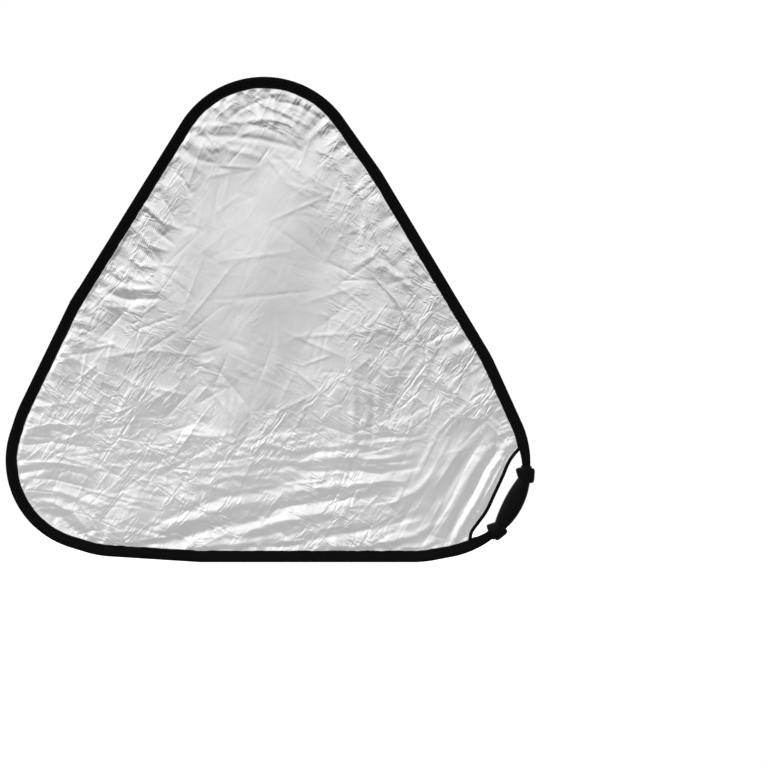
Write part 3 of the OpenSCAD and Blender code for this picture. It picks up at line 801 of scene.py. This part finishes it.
def edge_stitches(paint):
    """Running stitches along the edge tape, and a zigzag bar tack at each of its ends."""
    cloth = Cloth()
    low, high = edge_span(21.0)
    v = np.arange(low + 10, high - 9, 3.6)
    for face in (-1.0, 1.0):
        x, z = free_edge(v, 3.9)
        along = unit(np.stack([np.gradient(x), np.zeros_like(x), np.gradient(z)], -1))
        stitch_row(cloth, np.stack([x, face * 1.1 + 0 * x, z], -1), along,
                   off_cloth(along, face), length=2.8, radius=0.26)
        for first in (low + 0.5, high - 7.5):
            w = first + np.arange(14) * 0.5
            x0, z0 = free_edge(w, 0.9)
            x1, z1 = free_edge(w + 0.25, 4.7)
            along = unit(np.stack([x1 - x0, 0 * x0, z1 - z0], -1))
            middle = np.stack([(x0 + x1) / 2, face * 1.28 + 0 * x0, (z0 + z1) / 2], -1)
            stitch_row(cloth, middle, along, off_cloth(along, face), length=4.2, radius=0.24,
                       bow=0.15)
    return cloth.make("edge_tacks", paint)


def make_splice(paint):
    """Second layer of tape where the binding's two ends overlap, just above the left kink."""
    cloth = Cloth()
    depth, y = folded_ring(BINDING_W - 1.0, grow=0.6)
    end = RUNS[7, 0] + RUNS[7, 1]
    rim_grid(cloth, np.full_like(depth, end - SPLICE_LENGTH), np.full_like(depth, end), depth,
             y, 2.5)
    return cloth.make("splice_tape", paint)


MOUTH_TURN = math.radians(MOUTH_DEG)


def sleeve_width(share, at_mouth, drop):
    """Width of the free sleeve, from the free edge (share 0) to the grip's mouth (share 1)."""
    return at_mouth + (17.9 - at_mouth) * (1 - share) ** 1.15 + drop * np.exp(-share / 0.05)


def make_sleeve(name, s0, s1, at_mouth, paint, thread):
    """Binding sewn shut round the bare band: it narrows towards the grip, with slack
    lengthwise wrinkles."""
    skin_d, skin_y = tape_profile(BINDING_W, edge=1.1, points=12)
    d = np.concatenate([skin_d, skin_d[-2::-1]])
    y = np.concatenate([-skin_y, skin_y[-2::-1]])
    count = 34
    share = np.linspace(0, 1, count)[:, None]
    s = s0 + share * (s1 - s0)
    width = sleeve_width(share, at_mouth, 1.1)
    narrowed = NOSE_DEPTH + (d - NOSE_DEPTH) * (width - NOSE_DEPTH) / (BINDING_W - NOSE_DEPTH)
    depth = np.where(d > NOSE_DEPTH, narrowed, d)
    deep = d[None, :] / BINDING_W
    slack = 1 + 0.07 * smooth_step(share * 4) * np.sin(9 * deep + 0.1 * s) * np.sign(y) \
        * np.sin(math.pi * np.clip(deep, 0, 1))
    points = swept(s % S_TOTAL + 0 * depth, depth, y * slack)[::-1]
    cloth = Cloth()
    cloth.grid(points, np.abs(s[:, 0] - s0) * MM, girth_of(d, y), round_v=True, flip=True)
    cloth.cap(points[0])
    cloth.cap(points[-1], flip=True)
    sleeve = cloth.make(name, paint)
    cloth = Cloth()
    at = np.arange(2.5, abs(s1 - s0) - 7, 3.6) / abs(s1 - s0)
    s = (s0 + at * (s1 - s0)) % S_TOTAL
    deep = sleeve_width(at, at_mouth, 1.1) - 2.0
    x, z, nx, nz = rim(s)
    for face in (-1.0, 1.0):
        along = np.stack([-nz, 0 * nx, nx], -1)
        centres = np.stack([x - deep * nx, 0 * x + face * 1.22, z - deep * nz], -1)
        stitch_row(cloth, centres, along, off_cloth(along, face), length=2.8, radius=0.28)
    return sleeve, cloth.make(name + "_stitches", thread)


# ---------------------------------------------------------------- grip

# Silhouette of the upper guard in the grip's own axes: inner point u, v, outer point u, v and
# half thickness, from the core inside the grip out to the rim of its mouth
GUARD = np.array([
    (-8.0, 34.0, 7.0, 34.0, 8.6), (-9.5, 38.0, 8.0, 38.4, 9.6), (-10.7, 40.4, 9.0, 41.2, 10.7),
    (-12.0, 41.4, 10.6, 42.6, 11.7), (-13.0, 42.3, 13.3, 44.4, 12.4),
    (-14.2, 43.5, 14.5, 47.0, 12.8), (-16.2, 45.6, 13.8, 50.4, 12.95),
    (-18.8, 48.2, 12.3, 54.2, 13.0), (-20.8, 50.8, 10.5, 58.4, 13.0),
    (-21.3, 52.9, 8.9, 62.0, 12.9), (-19.8, 55.3, 7.4, 64.8, 12.7),
    (-17.3, 57.6, 6.1, 66.3, 12.2), (-15.0, 59.3, 4.6, 66.8, 11.3)])
# Mouth: half width, half thickness and how far out along the rim
MOUTH = np.array([
    (9.7, 8.1, 3.2), (9.2, 7.5, 3.3), (9.0, 7.3, 3.6), (8.8, 7.1, 5.3), (8.5, 6.8, 5.9),
    (8.0, 6.3, 6.15), (7.5, 5.8, 6.2)])


# Each half's flat face off the parting plane, and how far in and how deep its edge is eased
PARTING, EASE_IN, EASE_DEPTH = 0.1, 0.35, 0.22
# Screw seat from above the rear half down to its floor: radius and distance to the back
SEAT = np.array([(3.35, 18.0), (3.35, 13.3), (3.05, 12.9), (3.05, 8.2)])
# Soft sleeve: squareness of its sections, and their mean radius
SLEEVE_POWER, SLEEVE_R = 2.7, 14.0


def guard_rows():
    """Sections of the upper guard: inner u, v, outer u, v, half thickness, squareness."""
    t = np.linspace(0, len(GUARD) - 1, 37)
    body = np.stack([smooth_line(t, np.arange(len(GUARD)), GUARD[:, i]) for i in range(5)], -1)
    radius = GRIP_TIP[2] - 6.6
    core = (GRIP_TIP[2] - 8.5) * math.cos(MOUTH_TURN) + 20.0 * math.sin(MOUTH_TURN)
    out = np.array([math.cos(MOUTH_TURN), math.sin(MOUTH_TURN)])
    up = np.array([-math.sin(MOUTH_TURN), math.cos(MOUTH_TURN)])
    rows = []
    for a, b, far in MOUTH:
        middle = radius * out - np.array([core, 0]) + far * up
        rows.append([*(middle - a * out), *(middle + a * out), b])
    rows = np.vstack([body, rows])
    square = np.concatenate([np.full(len(body), 2.5), np.full(len(MOUTH), 3.0)])
    return np.column_stack([rows, square])


def to_panel(u, v, y):
    """Points given out from the grip's axis, along it and to the back."""
    flat = ORIGIN[[0, 2]] + u[..., None] * GRIP_OUT + v[..., None] * GRIP_UP
    return np.stack([flat[..., 0], np.broadcast_to(y, u.shape), flat[..., 1]], -1)


def make_half_grip(name, side, paint):
    """One moulded half of the grip: both guards joined by a core, each section half a
    superellipse with a softened edge at the parting line and a flat parting face."""
    upper = guard_rows()
    lower = upper.copy()[::-1]
    lower[:, [1, 3]] *= -1
    rows = np.vstack([lower, upper])
    theta = np.linspace(0, math.pi, 41)
    c, s = np.cos(theta), np.sin(theta)
    a = np.hypot(rows[:, 2] - rows[:, 0], rows[:, 3] - rows[:, 1])[:, None] / 2
    power = 2 / rows[:, 5:6]
    across = np.sign(c) * np.abs(c) ** power
    thick = s ** power
    y = PARTING + (rows[:, 4:5] - PARTING) * thick
    across = across * (1 - EASE_IN / a * np.exp(-(y - PARTING) / EASE_DEPTH))
    chord = np.linspace(-1, 1, 9)[None, 1:-1] * (1 - EASE_IN / a)
    across = np.concatenate([across, chord], 1)
    y = np.concatenate([y, np.full((len(rows), chord.shape[1]), PARTING)], 1)
    middle = (rows[:, 0:2] + rows[:, 2:4]) / 2
    half = (rows[:, 2:4] - rows[:, 0:2]) / 2
    u = middle[:, 0:1] + across * half[:, 0:1]
    v = middle[:, 1:2] + across * half[:, 1:2]
    points = to_panel(u, v, side * y)
    cloth = Cloth()
    cloth.grid(points, round_v=True, flip=side > 0)
    cloth.cap(points[0], flip=side < 0)
    cloth.cap(points[-1], flip=side > 0)
    return cloth.make(name, paint)


def cut_screw_seats(piece):
    """Round counterbores in the rear half, over the two guards' screws."""
    mesh = frame["nodes"]["shell_screws"].data
    co = np.empty(len(mesh.vertices) * 3)
    mesh.vertices.foreach_get("co", co)
    co = co.reshape(-1, 3) / MM
    up = co[:, 0] * GRIP_UP[0] + co[:, 2] * GRIP_UP[1]
    ring = np.linspace(0.05, 0.05 + 2 * math.pi, 36, endpoint=False)
    for group in (up > 20, up < -20):
        centre = (co[group].min(0) + co[group].max(0)) / 2
        seat = Cloth()
        r, y = SEAT[:, :1], SEAT[:, 1:]
        points = np.stack([centre[0] + ORIGIN[0] + r * np.cos(ring), y + 0 * ring,
                           centre[2] + ORIGIN[2] + r * np.sin(ring)], -1)
        seat.grid(points, round_v=True)
        seat.cap(points[0], flip=True)
        seat.cap(points[-1])
        tool = seat.make("seat_cutter", piece.data.materials[0])
        cut = piece.modifiers.new("seat", "BOOLEAN")
        cut.operation, cut.solver, cut.object = "DIFFERENCE", "EXACT", tool
        dg = bpy.context.evaluated_depsgraph_get()
        piece.data = bpy.data.meshes.new_from_object(piece.evaluated_get(dg))
        piece.modifiers.clear()
        bpy.data.objects.remove(tool)
    piece.data.name = piece.name


def make_grip_sleeve(paint):
    """Soft sleeve on the grip: squarish sections, fuller on the outside than on the inside,
    thickest in the middle, with a fine groove along both edges of each face."""
    v = np.concatenate([[-43.2], np.linspace(-43, 43, 63), [43.2]])[:, None]
    rise = 1 - np.clip(np.abs(v) / 42, 0, 1.05) ** 2
    inner, outer = -11.7 - 3.7 * rise, 9.7 + 7.3 * rise
    wide, half = (outer - inner) / 2, 10.7 + 1.75 * rise
    theta = np.linspace(0, 2 * math.pi, 120, endpoint=False)
    c, s = np.cos(theta), np.sin(theta)
    across = np.sign(c) * np.abs(c) ** (2 / SLEEVE_POWER)
    thick = np.sign(s) * np.abs(s) ** (2 / SLEEVE_POWER)
    edge = np.abs(across) - (1 - 2.6 / wide)
    groove = 0.4 * np.exp(-(edge * wide / 0.45) ** 2) * (np.abs(thick) > 0.5)
    tuck = np.where(np.abs(v) > 43.1, 0.9, 1.0)
    u = (inner + outer) / 2 + across * wide * tuck
    y = thick * (half - groove) * tuck
    points = to_panel(u, v + 0 * u, y)
    cloth = Cloth()
    cloth.grid(points, v[:, 0] * MM, theta * SLEEVE_R * MM, round_v=True, flip=True)
    cloth.cap(points[0])
    cloth.cap(points[-1], flip=True)
    return cloth.make("grip_sleeve", paint)


# ---------------------------------------------------------------- finishes

def put(tree, kind, inputs=(), **settings):
    """Adds a node; inputs is a list of (socket, value or socket to link)."""
    node = tree.nodes.new("ShaderNode" + kind)
    for key, value in settings.items():
        setattr(node, key, value)
    for key, value in inputs:
        if isinstance(value, bpy.types.NodeSocket):
            tree.links.new(value, node.inputs[key])
        else:
            node.inputs[key].default_value = value
    return node


def maths(tree, operation, a, b=0.0):
    return put(tree, "Math", [(0, a), (1, b)], operation=operation).outputs[0]


# Colour sockets of a Mix node, which share their names with its other kinds
MIX_A, MIX_B, MIX_RESULT = 6, 7, 2


def mix_colours(tree, mask, a, b):
    """Colour between a and b, each a colour or a socket, by a mask."""
    return put(tree, "Mix", [("Factor", mask), (MIX_A, a), (MIX_B, b)],
               data_type="RGBA").outputs[MIX_RESULT]


def shader_group(name, inputs, outputs):
    """Empty node group: inputs as (name, default); a Vector input has no default."""
    group = bpy.data.node_groups.new(name, "ShaderNodeTree")
    for label, value in inputs:
        kind = "NodeSocketVector" if value is None else "NodeSocketFloat"
        made = group.interface.new_socket(label, in_out="INPUT", socket_type=kind)
        if value is not None:
            made.default_value = value
    for label in outputs:
        group.interface.new_socket(label, in_out="OUTPUT", socket_type="NodeSocketFloat")
    return group, group.nodes.new("NodeGroupInput"), group.nodes.new("NodeGroupOutput")


def plain_weave():
    """Over-and-under threads: the product of one wave along the cloth and one across it, with
    a little unevenness from thread to thread."""
    group, given, result = shader_group(
        "plain_weave", [("Vector", None), ("Along", 0.001), ("Across", 0.001)],
        ["Height", "Thread"])
    parts = put(group, "SeparateXYZ", [(0, given.outputs["Vector"])])
    waves = []
    for axis, pitch in ((0, "Along"), (1, "Across")):
        turns = maths(group, "DIVIDE", parts.outputs[axis], given.outputs[pitch])
        waves.append(maths(group, "SINE", maths(group, "MULTIPLY", turns, 2 * math.pi)))
    crossing_wave = maths(group, "MULTIPLY", waves[0], waves[1])
    noise = put(group, "TexNoise", [("Vector", given.outputs["Vector"]), ("Scale", 700.0),
                                    ("Detail", 2.0)])
    uneven = maths(group, "MULTIPLY", noise.outputs["Fac"], 0.7)
    height = maths(group, "ADD", maths(group, "MULTIPLY", crossing_wave, 0.5), uneven)
    group.links.new(height, result.inputs["Height"])
    group.links.new(maths(group, "ADD", maths(group, "MULTIPLY", crossing_wave, 0.5), 0.5),
                    result.inputs["Thread"])
    return group


def crinkle():
    """Creases of crumpled foil: the edges of irregular cells at two sizes, drawn out along one
    direction, bent by noise, and kept only in patches, so that few of them close a ring."""
    group, given, result = shader_group(
        "crinkle", [("Vector", None), ("Turn", 0.6), ("Draw", 0.4), ("Cells", 40.0)],
        ["Height"])
    turn = put(group, "VectorRotate", [("Vector", given.outputs["Vector"]),
                                       ("Angle", given.outputs["Turn"])],
               rotation_type="Z_AXIS")
    drawn = put(group, "CombineXYZ", [(0, given.outputs["Draw"]), (1, 1.0), (2, 1.0)])
    line = put(group, "VectorMath", [(0, turn.outputs[0]), (1, drawn.outputs[0])],
               operation="MULTIPLY")
    bend = put(group, "TexNoise", [("Vector", given.outputs["Vector"]), ("Scale", 60.0),
                                   ("Detail", 4.0)])
    shift = put(group, "VectorMath", [(0, bend.outputs["Color"]), (1, (0.006, 0.006, 0.0))],
                operation="MULTIPLY")
    moved = put(group, "VectorMath", [(0, line.outputs[0]), (1, shift.outputs[0])],
                operation="ADD")
    fine_cells = maths(group, "MULTIPLY", given.outputs["Cells"], 2.3)
    heights = []
    for cells, reach in ((given.outputs["Cells"], 0.10), (fine_cells, 0.16)):
        edge = put(group, "TexVoronoi", [("Vector", moved.outputs[0]), ("Scale", cells)],
                   feature="DISTANCE_TO_EDGE")
        patch = put(group, "TexNoise", [("Vector", moved.outputs[0]),
                                        ("Scale", maths(group, "MULTIPLY", cells, 0.55)),
                                        ("Detail", 2.0)])
        share = put(group, "MapRange", [("Value", patch.outputs["Fac"]), ("From Min", 0.50),
                                        ("From Max", 0.64)], interpolation_type="SMOOTHSTEP")
        low = maths(group, "MINIMUM", edge.outputs["Distance"], reach)
        heights.append(maths(group, "MULTIPLY", low, share.outputs[0]))
    total = maths(group, "ADD", heights[0], maths(group, "MULTIPLY", heights[1], 0.45))
    area = put(group, "TexNoise", [("Vector", moved.outputs[0]), ("Scale", 9.0),
                                   ("Detail", 1.0)])
    busy = put(group, "MapRange", [("Value", area.outputs["Fac"]), ("From Min", 0.36),
                                   ("From Max", 0.62), ("To Min", 0.15), ("To Max", 1.15)],
               interpolation_type="SMOOTHSTEP")
    group.links.new(maths(group, "MULTIPLY", total, busy.outputs[0]), result.inputs["Height"])
    return group


def patina():
    """Handling marks: soft blotches and sparse specks of lint or dust."""
    group, given, result = shader_group(
        "patina", [("Vector", None), ("Blotch", 20.0), ("Speck", 900.0)], ["Blotches", "Specks"])
    soft = put(group, "TexNoise", [("Vector", given.outputs["Vector"]),
                                   ("Scale", given.outputs["Blotch"]), ("Detail", 4.0)])
    dots = put(group, "TexNoise", [("Vector", given.outputs["Vector"]),
                                   ("Scale", given.outputs["Speck"]), ("Detail", 1.0)])
    peaks = maths(group, "MULTIPLY", maths(group, "MAXIMUM", maths(
        group, "SUBTRACT", dots.outputs["Fac"], 0.70), 0.0), 8.0)
    group.links.new(soft.outputs["Fac"], result.inputs["Blotches"])
    group.links.new(maths(group, "MINIMUM", peaks, 1.0), result.inputs["Specks"])
    return group


GROUPS = {"weave": plain_weave(), "crinkle": crinkle(), "patina": patina()}


class Finish:
    """A material with one Principled BSDF; its colour runs between two tones."""

    def __init__(self, name, on_cloth=True, **sockets):
        self.material = bpy.data.materials.new(name)
        self.material.use_nodes = True
        self.tree = self.material.node_tree
        self.tree.nodes.clear()
        self.shader = put(self.tree, "BsdfPrincipled")
        result = put(self.tree, "OutputMaterial")
        self.tree.links.new(self.shader.outputs[0], result.inputs["Surface"])
        for key, value in sockets.items():
            self.shader.inputs[key.replace("_", " ")].default_value = value
        if on_cloth:
            self.place = put(self.tree, "UVMap", uv_map="cloth").outputs[0]
        else:
            self.place = put(self.tree, "TexCoord").outputs["Object"]

    def group(self, name, **values):
        node = put(self.tree, "Group", node_tree=GROUPS[name])
        self.tree.links.new(self.place, node.inputs["Vector"])
        for key, value in values.items():
            node.inputs[key].default_value = value
        return node

    def between(self, low, high, mask):
        """Value between two numbers, by a mask."""
        return put(self.tree, "MapRange", [("Value", mask), ("To Min", low),
                                           ("To Max", high)]).outputs[0]

    def tones(self, dark, light, mask, socket="Base Color"):
        colour = mix_colours(self.tree, mask, (*dark, 1), (*light, 1))
        if socket:
            self.drive(socket, colour)
        return colour

    def drive(self, socket, value):
        self.tree.links.new(value, self.shader.inputs[socket])

    def bump(self, height, distance, strength=1.0, under=None):
        inputs = [("Height", height), ("Distance", distance), ("Strength", strength)]
        if under is not None:
            inputs.append(("Normal", under))
        normal = put(self.tree, "Bump", inputs).outputs[0]
        self.tree.links.new(normal, self.shader.inputs["Normal"])
        return normal


def silver_finish():
    """Metallised cloth: a soft mirror with bumped creases, its tone and roughness varying together
    in soft blotches.
    """
    f = Finish("silver_cloth", Metallic=0.96)
    crumple = maths(f.tree, "ADD",
                    f.group("crinkle", Turn=0.55, Draw=0.38, Cells=52.0).outputs["Height"],
                    f.group("crinkle", Turn=-0.95, Draw=0.32, Cells=44.0).outputs["Height"])
    weave = f.group("weave", Along=0.0005, Across=0.0005)
    marks = f.group("patina", Blotch=14.0, Speck=700.0)
    f.tones((0.78, 0.78, 0.785), (0.90, 0.90, 0.90), marks.outputs["Blotches"])
    f.drive("Roughness", f.between(0.13, 0.25, marks.outputs["Blotches"]))
    # Three calm areas: centre and size across and up the cloth, and how calm each is
    share = None
    for across, up, wide, high, least in ((-0.02, 0.486, 0.25, 0.28, 0.12),
                                          (0.265, 0.13, 0.13, 0.14, 0.15),
                                          (-0.01, 0.72, 0.17, 0.13, 0.35)):
        at = put(f.tree, "Mapping", [("Vector", f.place), ("Scale", (1 / wide, 1 / high, 1)),
                                     ("Location", (-across / wide, -up / high, 0))])
        calm = put(f.tree, "TexGradient", [("Vector", at.outputs[0])],
                   gradient_type="SPHERICAL")
        left = put(f.tree, "MapRange", [("Value", calm.outputs["Fac"]), ("From Max", 0.55),
                                        ("To Min", 1.0), ("To Max", least)],
                   interpolation_type="SMOOTHSTEP").outputs[0]
        share = left if share is None else maths(f.tree, "MULTIPLY", share, left)
    creased = maths(f.tree, "MULTIPLY", crumple, share)
    under = f.bump(creased, 0.0052, 0.85)
    f.bump(weave.outputs["Height"], 0.00004, 0.5, under)
    return f.material


def white_finish():
    """Plain-woven nylon, warm white and matt."""
    f = Finish("white_cloth", Sheen_Weight=0.15, Sheen_Roughness=0.5)
    weave = f.group("weave", Along=0.0007, Across=0.0007)
    crumple = f.group("crinkle", Turn=0.3, Draw=0.4, Cells=26.0)
    marks = f.group("patina", Blotch=9.0, Speck=500.0)
    f.tones((0.80, 0.79, 0.765), (0.87, 0.865, 0.85), marks.outputs["Blotches"])
    f.drive("Roughness", f.between(0.62, 0.8, weave.outputs["Thread"]))
    under = f.bump(crumple.outputs["Height"], 0.0006, 0.3)
    f.bump(weave.outputs["Height"], 0.00008, 0.6, under)
    return f.material


def tape_finish(name, along, across, light=0.0055):
    """Black woven tape with a grosgrain rib and a trace of lint."""
    f = Finish(name, Specular_IOR_Level=0.05, Sheen_Weight=0.012, Sheen_Roughness=0.4)
    weave = f.group("weave", Along=along, Across=across)
    marks = f.group("patina", Blotch=40.0, Speck=1300.0)
    thread = f.tones((0.0010, 0.0010, 0.0011), (light, light, light * 1.04),
                     weave.outputs["Thread"], socket=None)
    f.drive("Base Color", mix_colours(f.tree, marks.outputs["Specks"], thread,
                                      (0.022, 0.022, 0.023, 1)))
    f.drive("Roughness", f.between(0.62, 0.85, marks.outputs["Blotches"]))
    f.bump(weave.outputs["Height"], 0.00022, 0.9)
    return f.material


def thread_finish():
    f = Finish("stitch_thread", on_cloth=False, Specular_IOR_Level=0.12)
    twist = put(f.tree, "TexWave", [("Vector", f.place), ("Scale", 900.0),
                                    ("Distortion", 1.0)], bands_direction="DIAGONAL")
    f.tones((0.004, 0.004, 0.0042), (0.02, 0.02, 0.021), twist.outputs["Fac"])
    f.drive("Roughness", f.between(0.35, 0.6, twist.outputs["Fac"]))
    f.bump(twist.outputs["Fac"], 0.00012, 0.6)
    return f.material


def moulded_finish(name, dark, light, rough, grain, depth, **sockets):
    """Moulded black part: fine grain from its tool, rubbed a little brighter in patches."""
    f = Finish(name, on_cloth=False, **sockets)
    marks = f.group("patina", Blotch=55.0, Speck=1500.0)
    skin = put(f.tree, "TexNoise", [("Vector", f.place), ("Scale", grain), ("Detail", 3.0)])
    base = f.tones((dark,) * 3, (light,) * 3, marks.outputs["Blotches"], socket=None)
    f.drive("Base Color", mix_colours(f.tree, marks.outputs["Specks"], base,
                                      (0.03, 0.03, 0.03, 1)))
    f.drive("Roughness", f.between(*rough, marks.outputs["Blotches"]))
    f.bump(skin.outputs["Fac"], depth, 0.5)
    return f.material


def metal_finish(name, dark, light, rough, brush):
    """Drawn or turned metal with fine lines along it."""
    f = Finish(name, on_cloth=False, Metallic=1.0)
    stretched = put(f.tree, "Mapping", [("Vector", f.place), ("Scale", brush)])
    lines = put(f.tree, "TexNoise", [("Vector", stretched.outputs[0]), ("Scale", 400.0),
                                     ("Detail", 4.0)])
    f.tones(dark, light, lines.outputs["Fac"])
    f.drive("Roughness", f.between(*rough, lines.outputs["Fac"]))
    f.bump(lines.outputs["Fac"], 0.00003, 0.5)
    return f.material


FINISHES = {
    "silver": silver_finish(),
    "white": white_finish(),
    "binding": tape_finish("binding_tape", 0.0011, 0.0016),
    "edge": tape_finish("edge_tape_weave", 0.0009, 0.0011, light=0.006),
    "thread": thread_finish(),
    "plastic": moulded_finish("grip_plastic", 0.0015, 0.003, (0.26, 0.38), 2600.0, 0.00006,
                              Specular_IOR_Level=0.07),
    "rubber": moulded_finish("grip_rubber_skin", 0.0015, 0.0035, (0.32, 0.45), 1800.0, 0.00008,
                             Specular_IOR_Level=0.07),
    "spring": metal_finish("spring_steel", (0.20, 0.22, 0.26), (0.34, 0.36, 0.40),
                           (0.28, 0.42), (0.1, 1, 0.1)),
    "screw": metal_finish("screw_black_oxide", (0.05, 0.05, 0.055), (0.11, 0.11, 0.115),
                          (0.3, 0.45), (1, 0.2, 1)),
    "brass": metal_finish("insert_brass", (0.60, 0.44, 0.18), (0.78, 0.62, 0.30),
                          (0.25, 0.4), (1, 0.2, 1)),
    "pin": metal_finish("pin_ground_steel", (0.45, 0.46, 0.48), (0.62, 0.63, 0.65),
                        (0.2, 0.32), (1, 0.2, 1)),
}

# ---------------------------------------------------------------- putting it together

# Leaves that each sewn piece stands for
LEAVES = ((1,), (2,), (3,), (4,), (5,), (6, 7))

for k in range(6):
    for piece, kind, slot in (
            (make_binding(k, FINISHES["binding"]), "rim_binding", "binding_tape"),
            (make_spring(k, FINISHES["spring"]), "spring_band", "spring_steel"),
            (make_stitches(k, FINISHES["thread"]), None, "stitch_thread")):
        sew_across(piece)
        if kind:
            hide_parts(*[f"{kind}_{i}" for i in LEAVES[k]])

for name, paint, step, rows, face, kind, slot in (
        ("silver_cloth", FINISHES["silver"], 2.0, 345, -1, "silver_sheet", "silver_cloth"),
        ("white_cloth", FINISHES["white"], 3.2, 215, 1, "white_sheet", "white_cloth")):
    for k, (piece, flat, area) in enumerate(make_cloths(name, paint, step, rows, face)):
        sew_across(piece)
        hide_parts(*[f"{kind}_{i}" for i in LEAVES[k]])

splice = make_splice(FINISHES["binding"])
sew_across(splice)
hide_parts("binding_splice")

MOUTH_SEAT = math.radians(1.3)
upper_end = GRIP_TIP[2] * (GRIP_TURN + MOUTH_TURN - MOUTH_SEAT - FREE_HI)
lower_end = S_END + GRIP_TIP[2] * (GRIP_TURN - MOUTH_TURN + MOUTH_SEAT - FREE_LO)
for name, s0, s1, at_mouth in (("rim_sleeve_upper", 0.0, upper_end, 12.7),
                               ("rim_sleeve_lower", S_END, lower_end, 13.8)):
    sleeve, stitches = make_sleeve(name, s0, s1, at_mouth, FINISHES["binding"],
                                   FINISHES["thread"])
    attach(sleeve, "grip_side")
    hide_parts("free_rim_" + name.split("_")[-1])
    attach(stitches, "grip_side")

front = make_half_grip("grip_front", -1, FINISHES["plastic"])
rear = make_half_grip("grip_rear", 1, FINISHES["plastic"])
cut_screw_seats(rear)
for piece, node, slot in (
        (make_edge_tape(FINISHES["edge"]), "free_edge_tape", "binding_tape"),
        (edge_stitches(FINISHES["thread"]), "free_edge_bar_tacks", "stitch_thread"),
        (front, "grip_front_shell", "grip_plastic"),
        (rear, "grip_rear_shell", "grip_plastic"),
        (make_grip_sleeve(FINISHES["rubber"]), "grip_rubber", "grip_rubber")):
    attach(piece, "grip_side")
    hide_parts(node)
for piece in (front, rear):
    piece.data.shade_smooth()
    piece.data.set_sharp_from_angle(angle=math.radians(40))

for node, finish in (("shell_screws", "screw"), ("thread_inserts", "brass"),
                     ("band_pins", "pin")):
    slots = frame["nodes"][node].data.materials
    if len(slots):
        slots[0] = FINISHES[finish]
    else:
        slots.append(FINISHES[finish])

# ---------------------------------------------------------------- floor, light and camera

FLOOR_Z = cad_box[0][2] - 0.0008


def make_floor():
    """Round pale floor under the object, as rings about its middle."""
    radius = np.array([0.0005, 0.3, 0.6, 0.9, 1.2, 1.6])[:, None]
    turn = np.linspace(0, 2 * math.pi, 64, endpoint=False)
    points = np.stack([-0.4 + radius * np.cos(turn), radius * np.sin(turn),
                       np.full((6, 64), FLOOR_Z)], -1) / MM + ORIGIN
    f = Finish("studio_paper", Roughness=0.9, Specular_IOR_Level=0.1, Emission_Strength=0.85)
    seen = put(f.tree, "LightPath").outputs["Is Camera Ray"]
    f.tones((0, 0, 0), (1, 1, 1), seen, socket="Emission Color")
    marks = f.group("patina", Blotch=3.0, Speck=200.0)
    f.tones((0.5, 0.5, 0.5), (0.54, 0.54, 0.54), marks.outputs["Blotches"])
    cloth = Cloth()
    cloth.grid(points, round_v=True)
    cloth.cap(points[0], flip=True)
    cloth.make("studio_floor", f.material)


def soft_box(name, place, aim, width, height, power):
    """Large area light at a place, turned towards a point."""
    data = bpy.data.lights.new(name, "AREA")
    data.shape, data.size, data.size_y, data.energy = "RECTANGLE", width, height, power
    light = bpy.data.objects.new(name, data)
    light.location = place
    turn = Vector(aim) - Vector(place)
    light.rotation_euler = turn.to_track_quat("-Z", "Y").to_euler()
    bpy.context.scene.collection.objects.link(light)


make_floor()
AIM = (-0.25, 0.0, 0.3)
soft_box("key_box", (-2.4, -3.4, 2.6), AIM, 1.5, 1.5, 9)
soft_box("side_box", (3.6, -1.6, 0.9), AIM, 1.0, 2.4, 6)
soft_box("top_box", (-0.2, -0.4, 3.6), AIM, 2.6, 1.4, 5)

world = bpy.data.worlds.new("studio_air")
bpy.context.scene.world = world
world.use_nodes = True
tree = world.node_tree
tree.nodes.clear()
way = put(tree, "TexCoord").outputs["Generated"]
parts = put(tree, "SeparateXYZ", [(0, way)])
rise = put(tree, "MapRange", [("Value", parts.outputs[2]), ("From Min", -0.32), ("From Max", 0.24),
                              ("To Min", 0.03), ("To Max", 1.08)], interpolation_type="SMOOTHSTEP")
lean = put(tree, "MapRange", [("Value", parts.outputs[0]), ("From Min", -0.5), ("From Max", 0.5),
                              ("To Min", 1.3), ("To Max", 0.7)], interpolation_type="SMOOTHSTEP")
glow = maths(tree, "MULTIPLY", rise.outputs[0], lean.outputs[0])
air = put(tree, "Background", [("Color", (1, 1, 1, 1)), ("Strength", glow)])
backdrop = put(tree, "Background", [("Color", (1, 1, 1, 1)), ("Strength", 1.02)])
seen = put(tree, "LightPath").outputs["Is Camera Ray"]
both = put(tree, "MixShader", [(0, seen), (1, air.outputs[0]), (2, backdrop.outputs[0])])
shown = put(tree, "OutputWorld")
tree.links.new(both.outputs[0], shown.inputs["Surface"])

SENSOR, VIEW_DISTANCE, VIEW_WIDTH = 36.0, 6.0, 1.2672
camera_data = bpy.data.cameras.new("camera")
camera_data.sensor_width = SENSOR
camera_data.lens = SENSOR * VIEW_DISTANCE / VIEW_WIDTH
camera_data.clip_end = 60
camera = bpy.data.objects.new("camera", camera_data)
camera.location = (-0.2124, -VIEW_DISTANCE, 0.1966)
camera.rotation_euler = (math.pi / 2, 0, 0)
bpy.context.scene.collection.objects.link(camera)
bpy.context.scene.camera = camera
bpy.context.scene.view_settings.view_transform = "Standard"
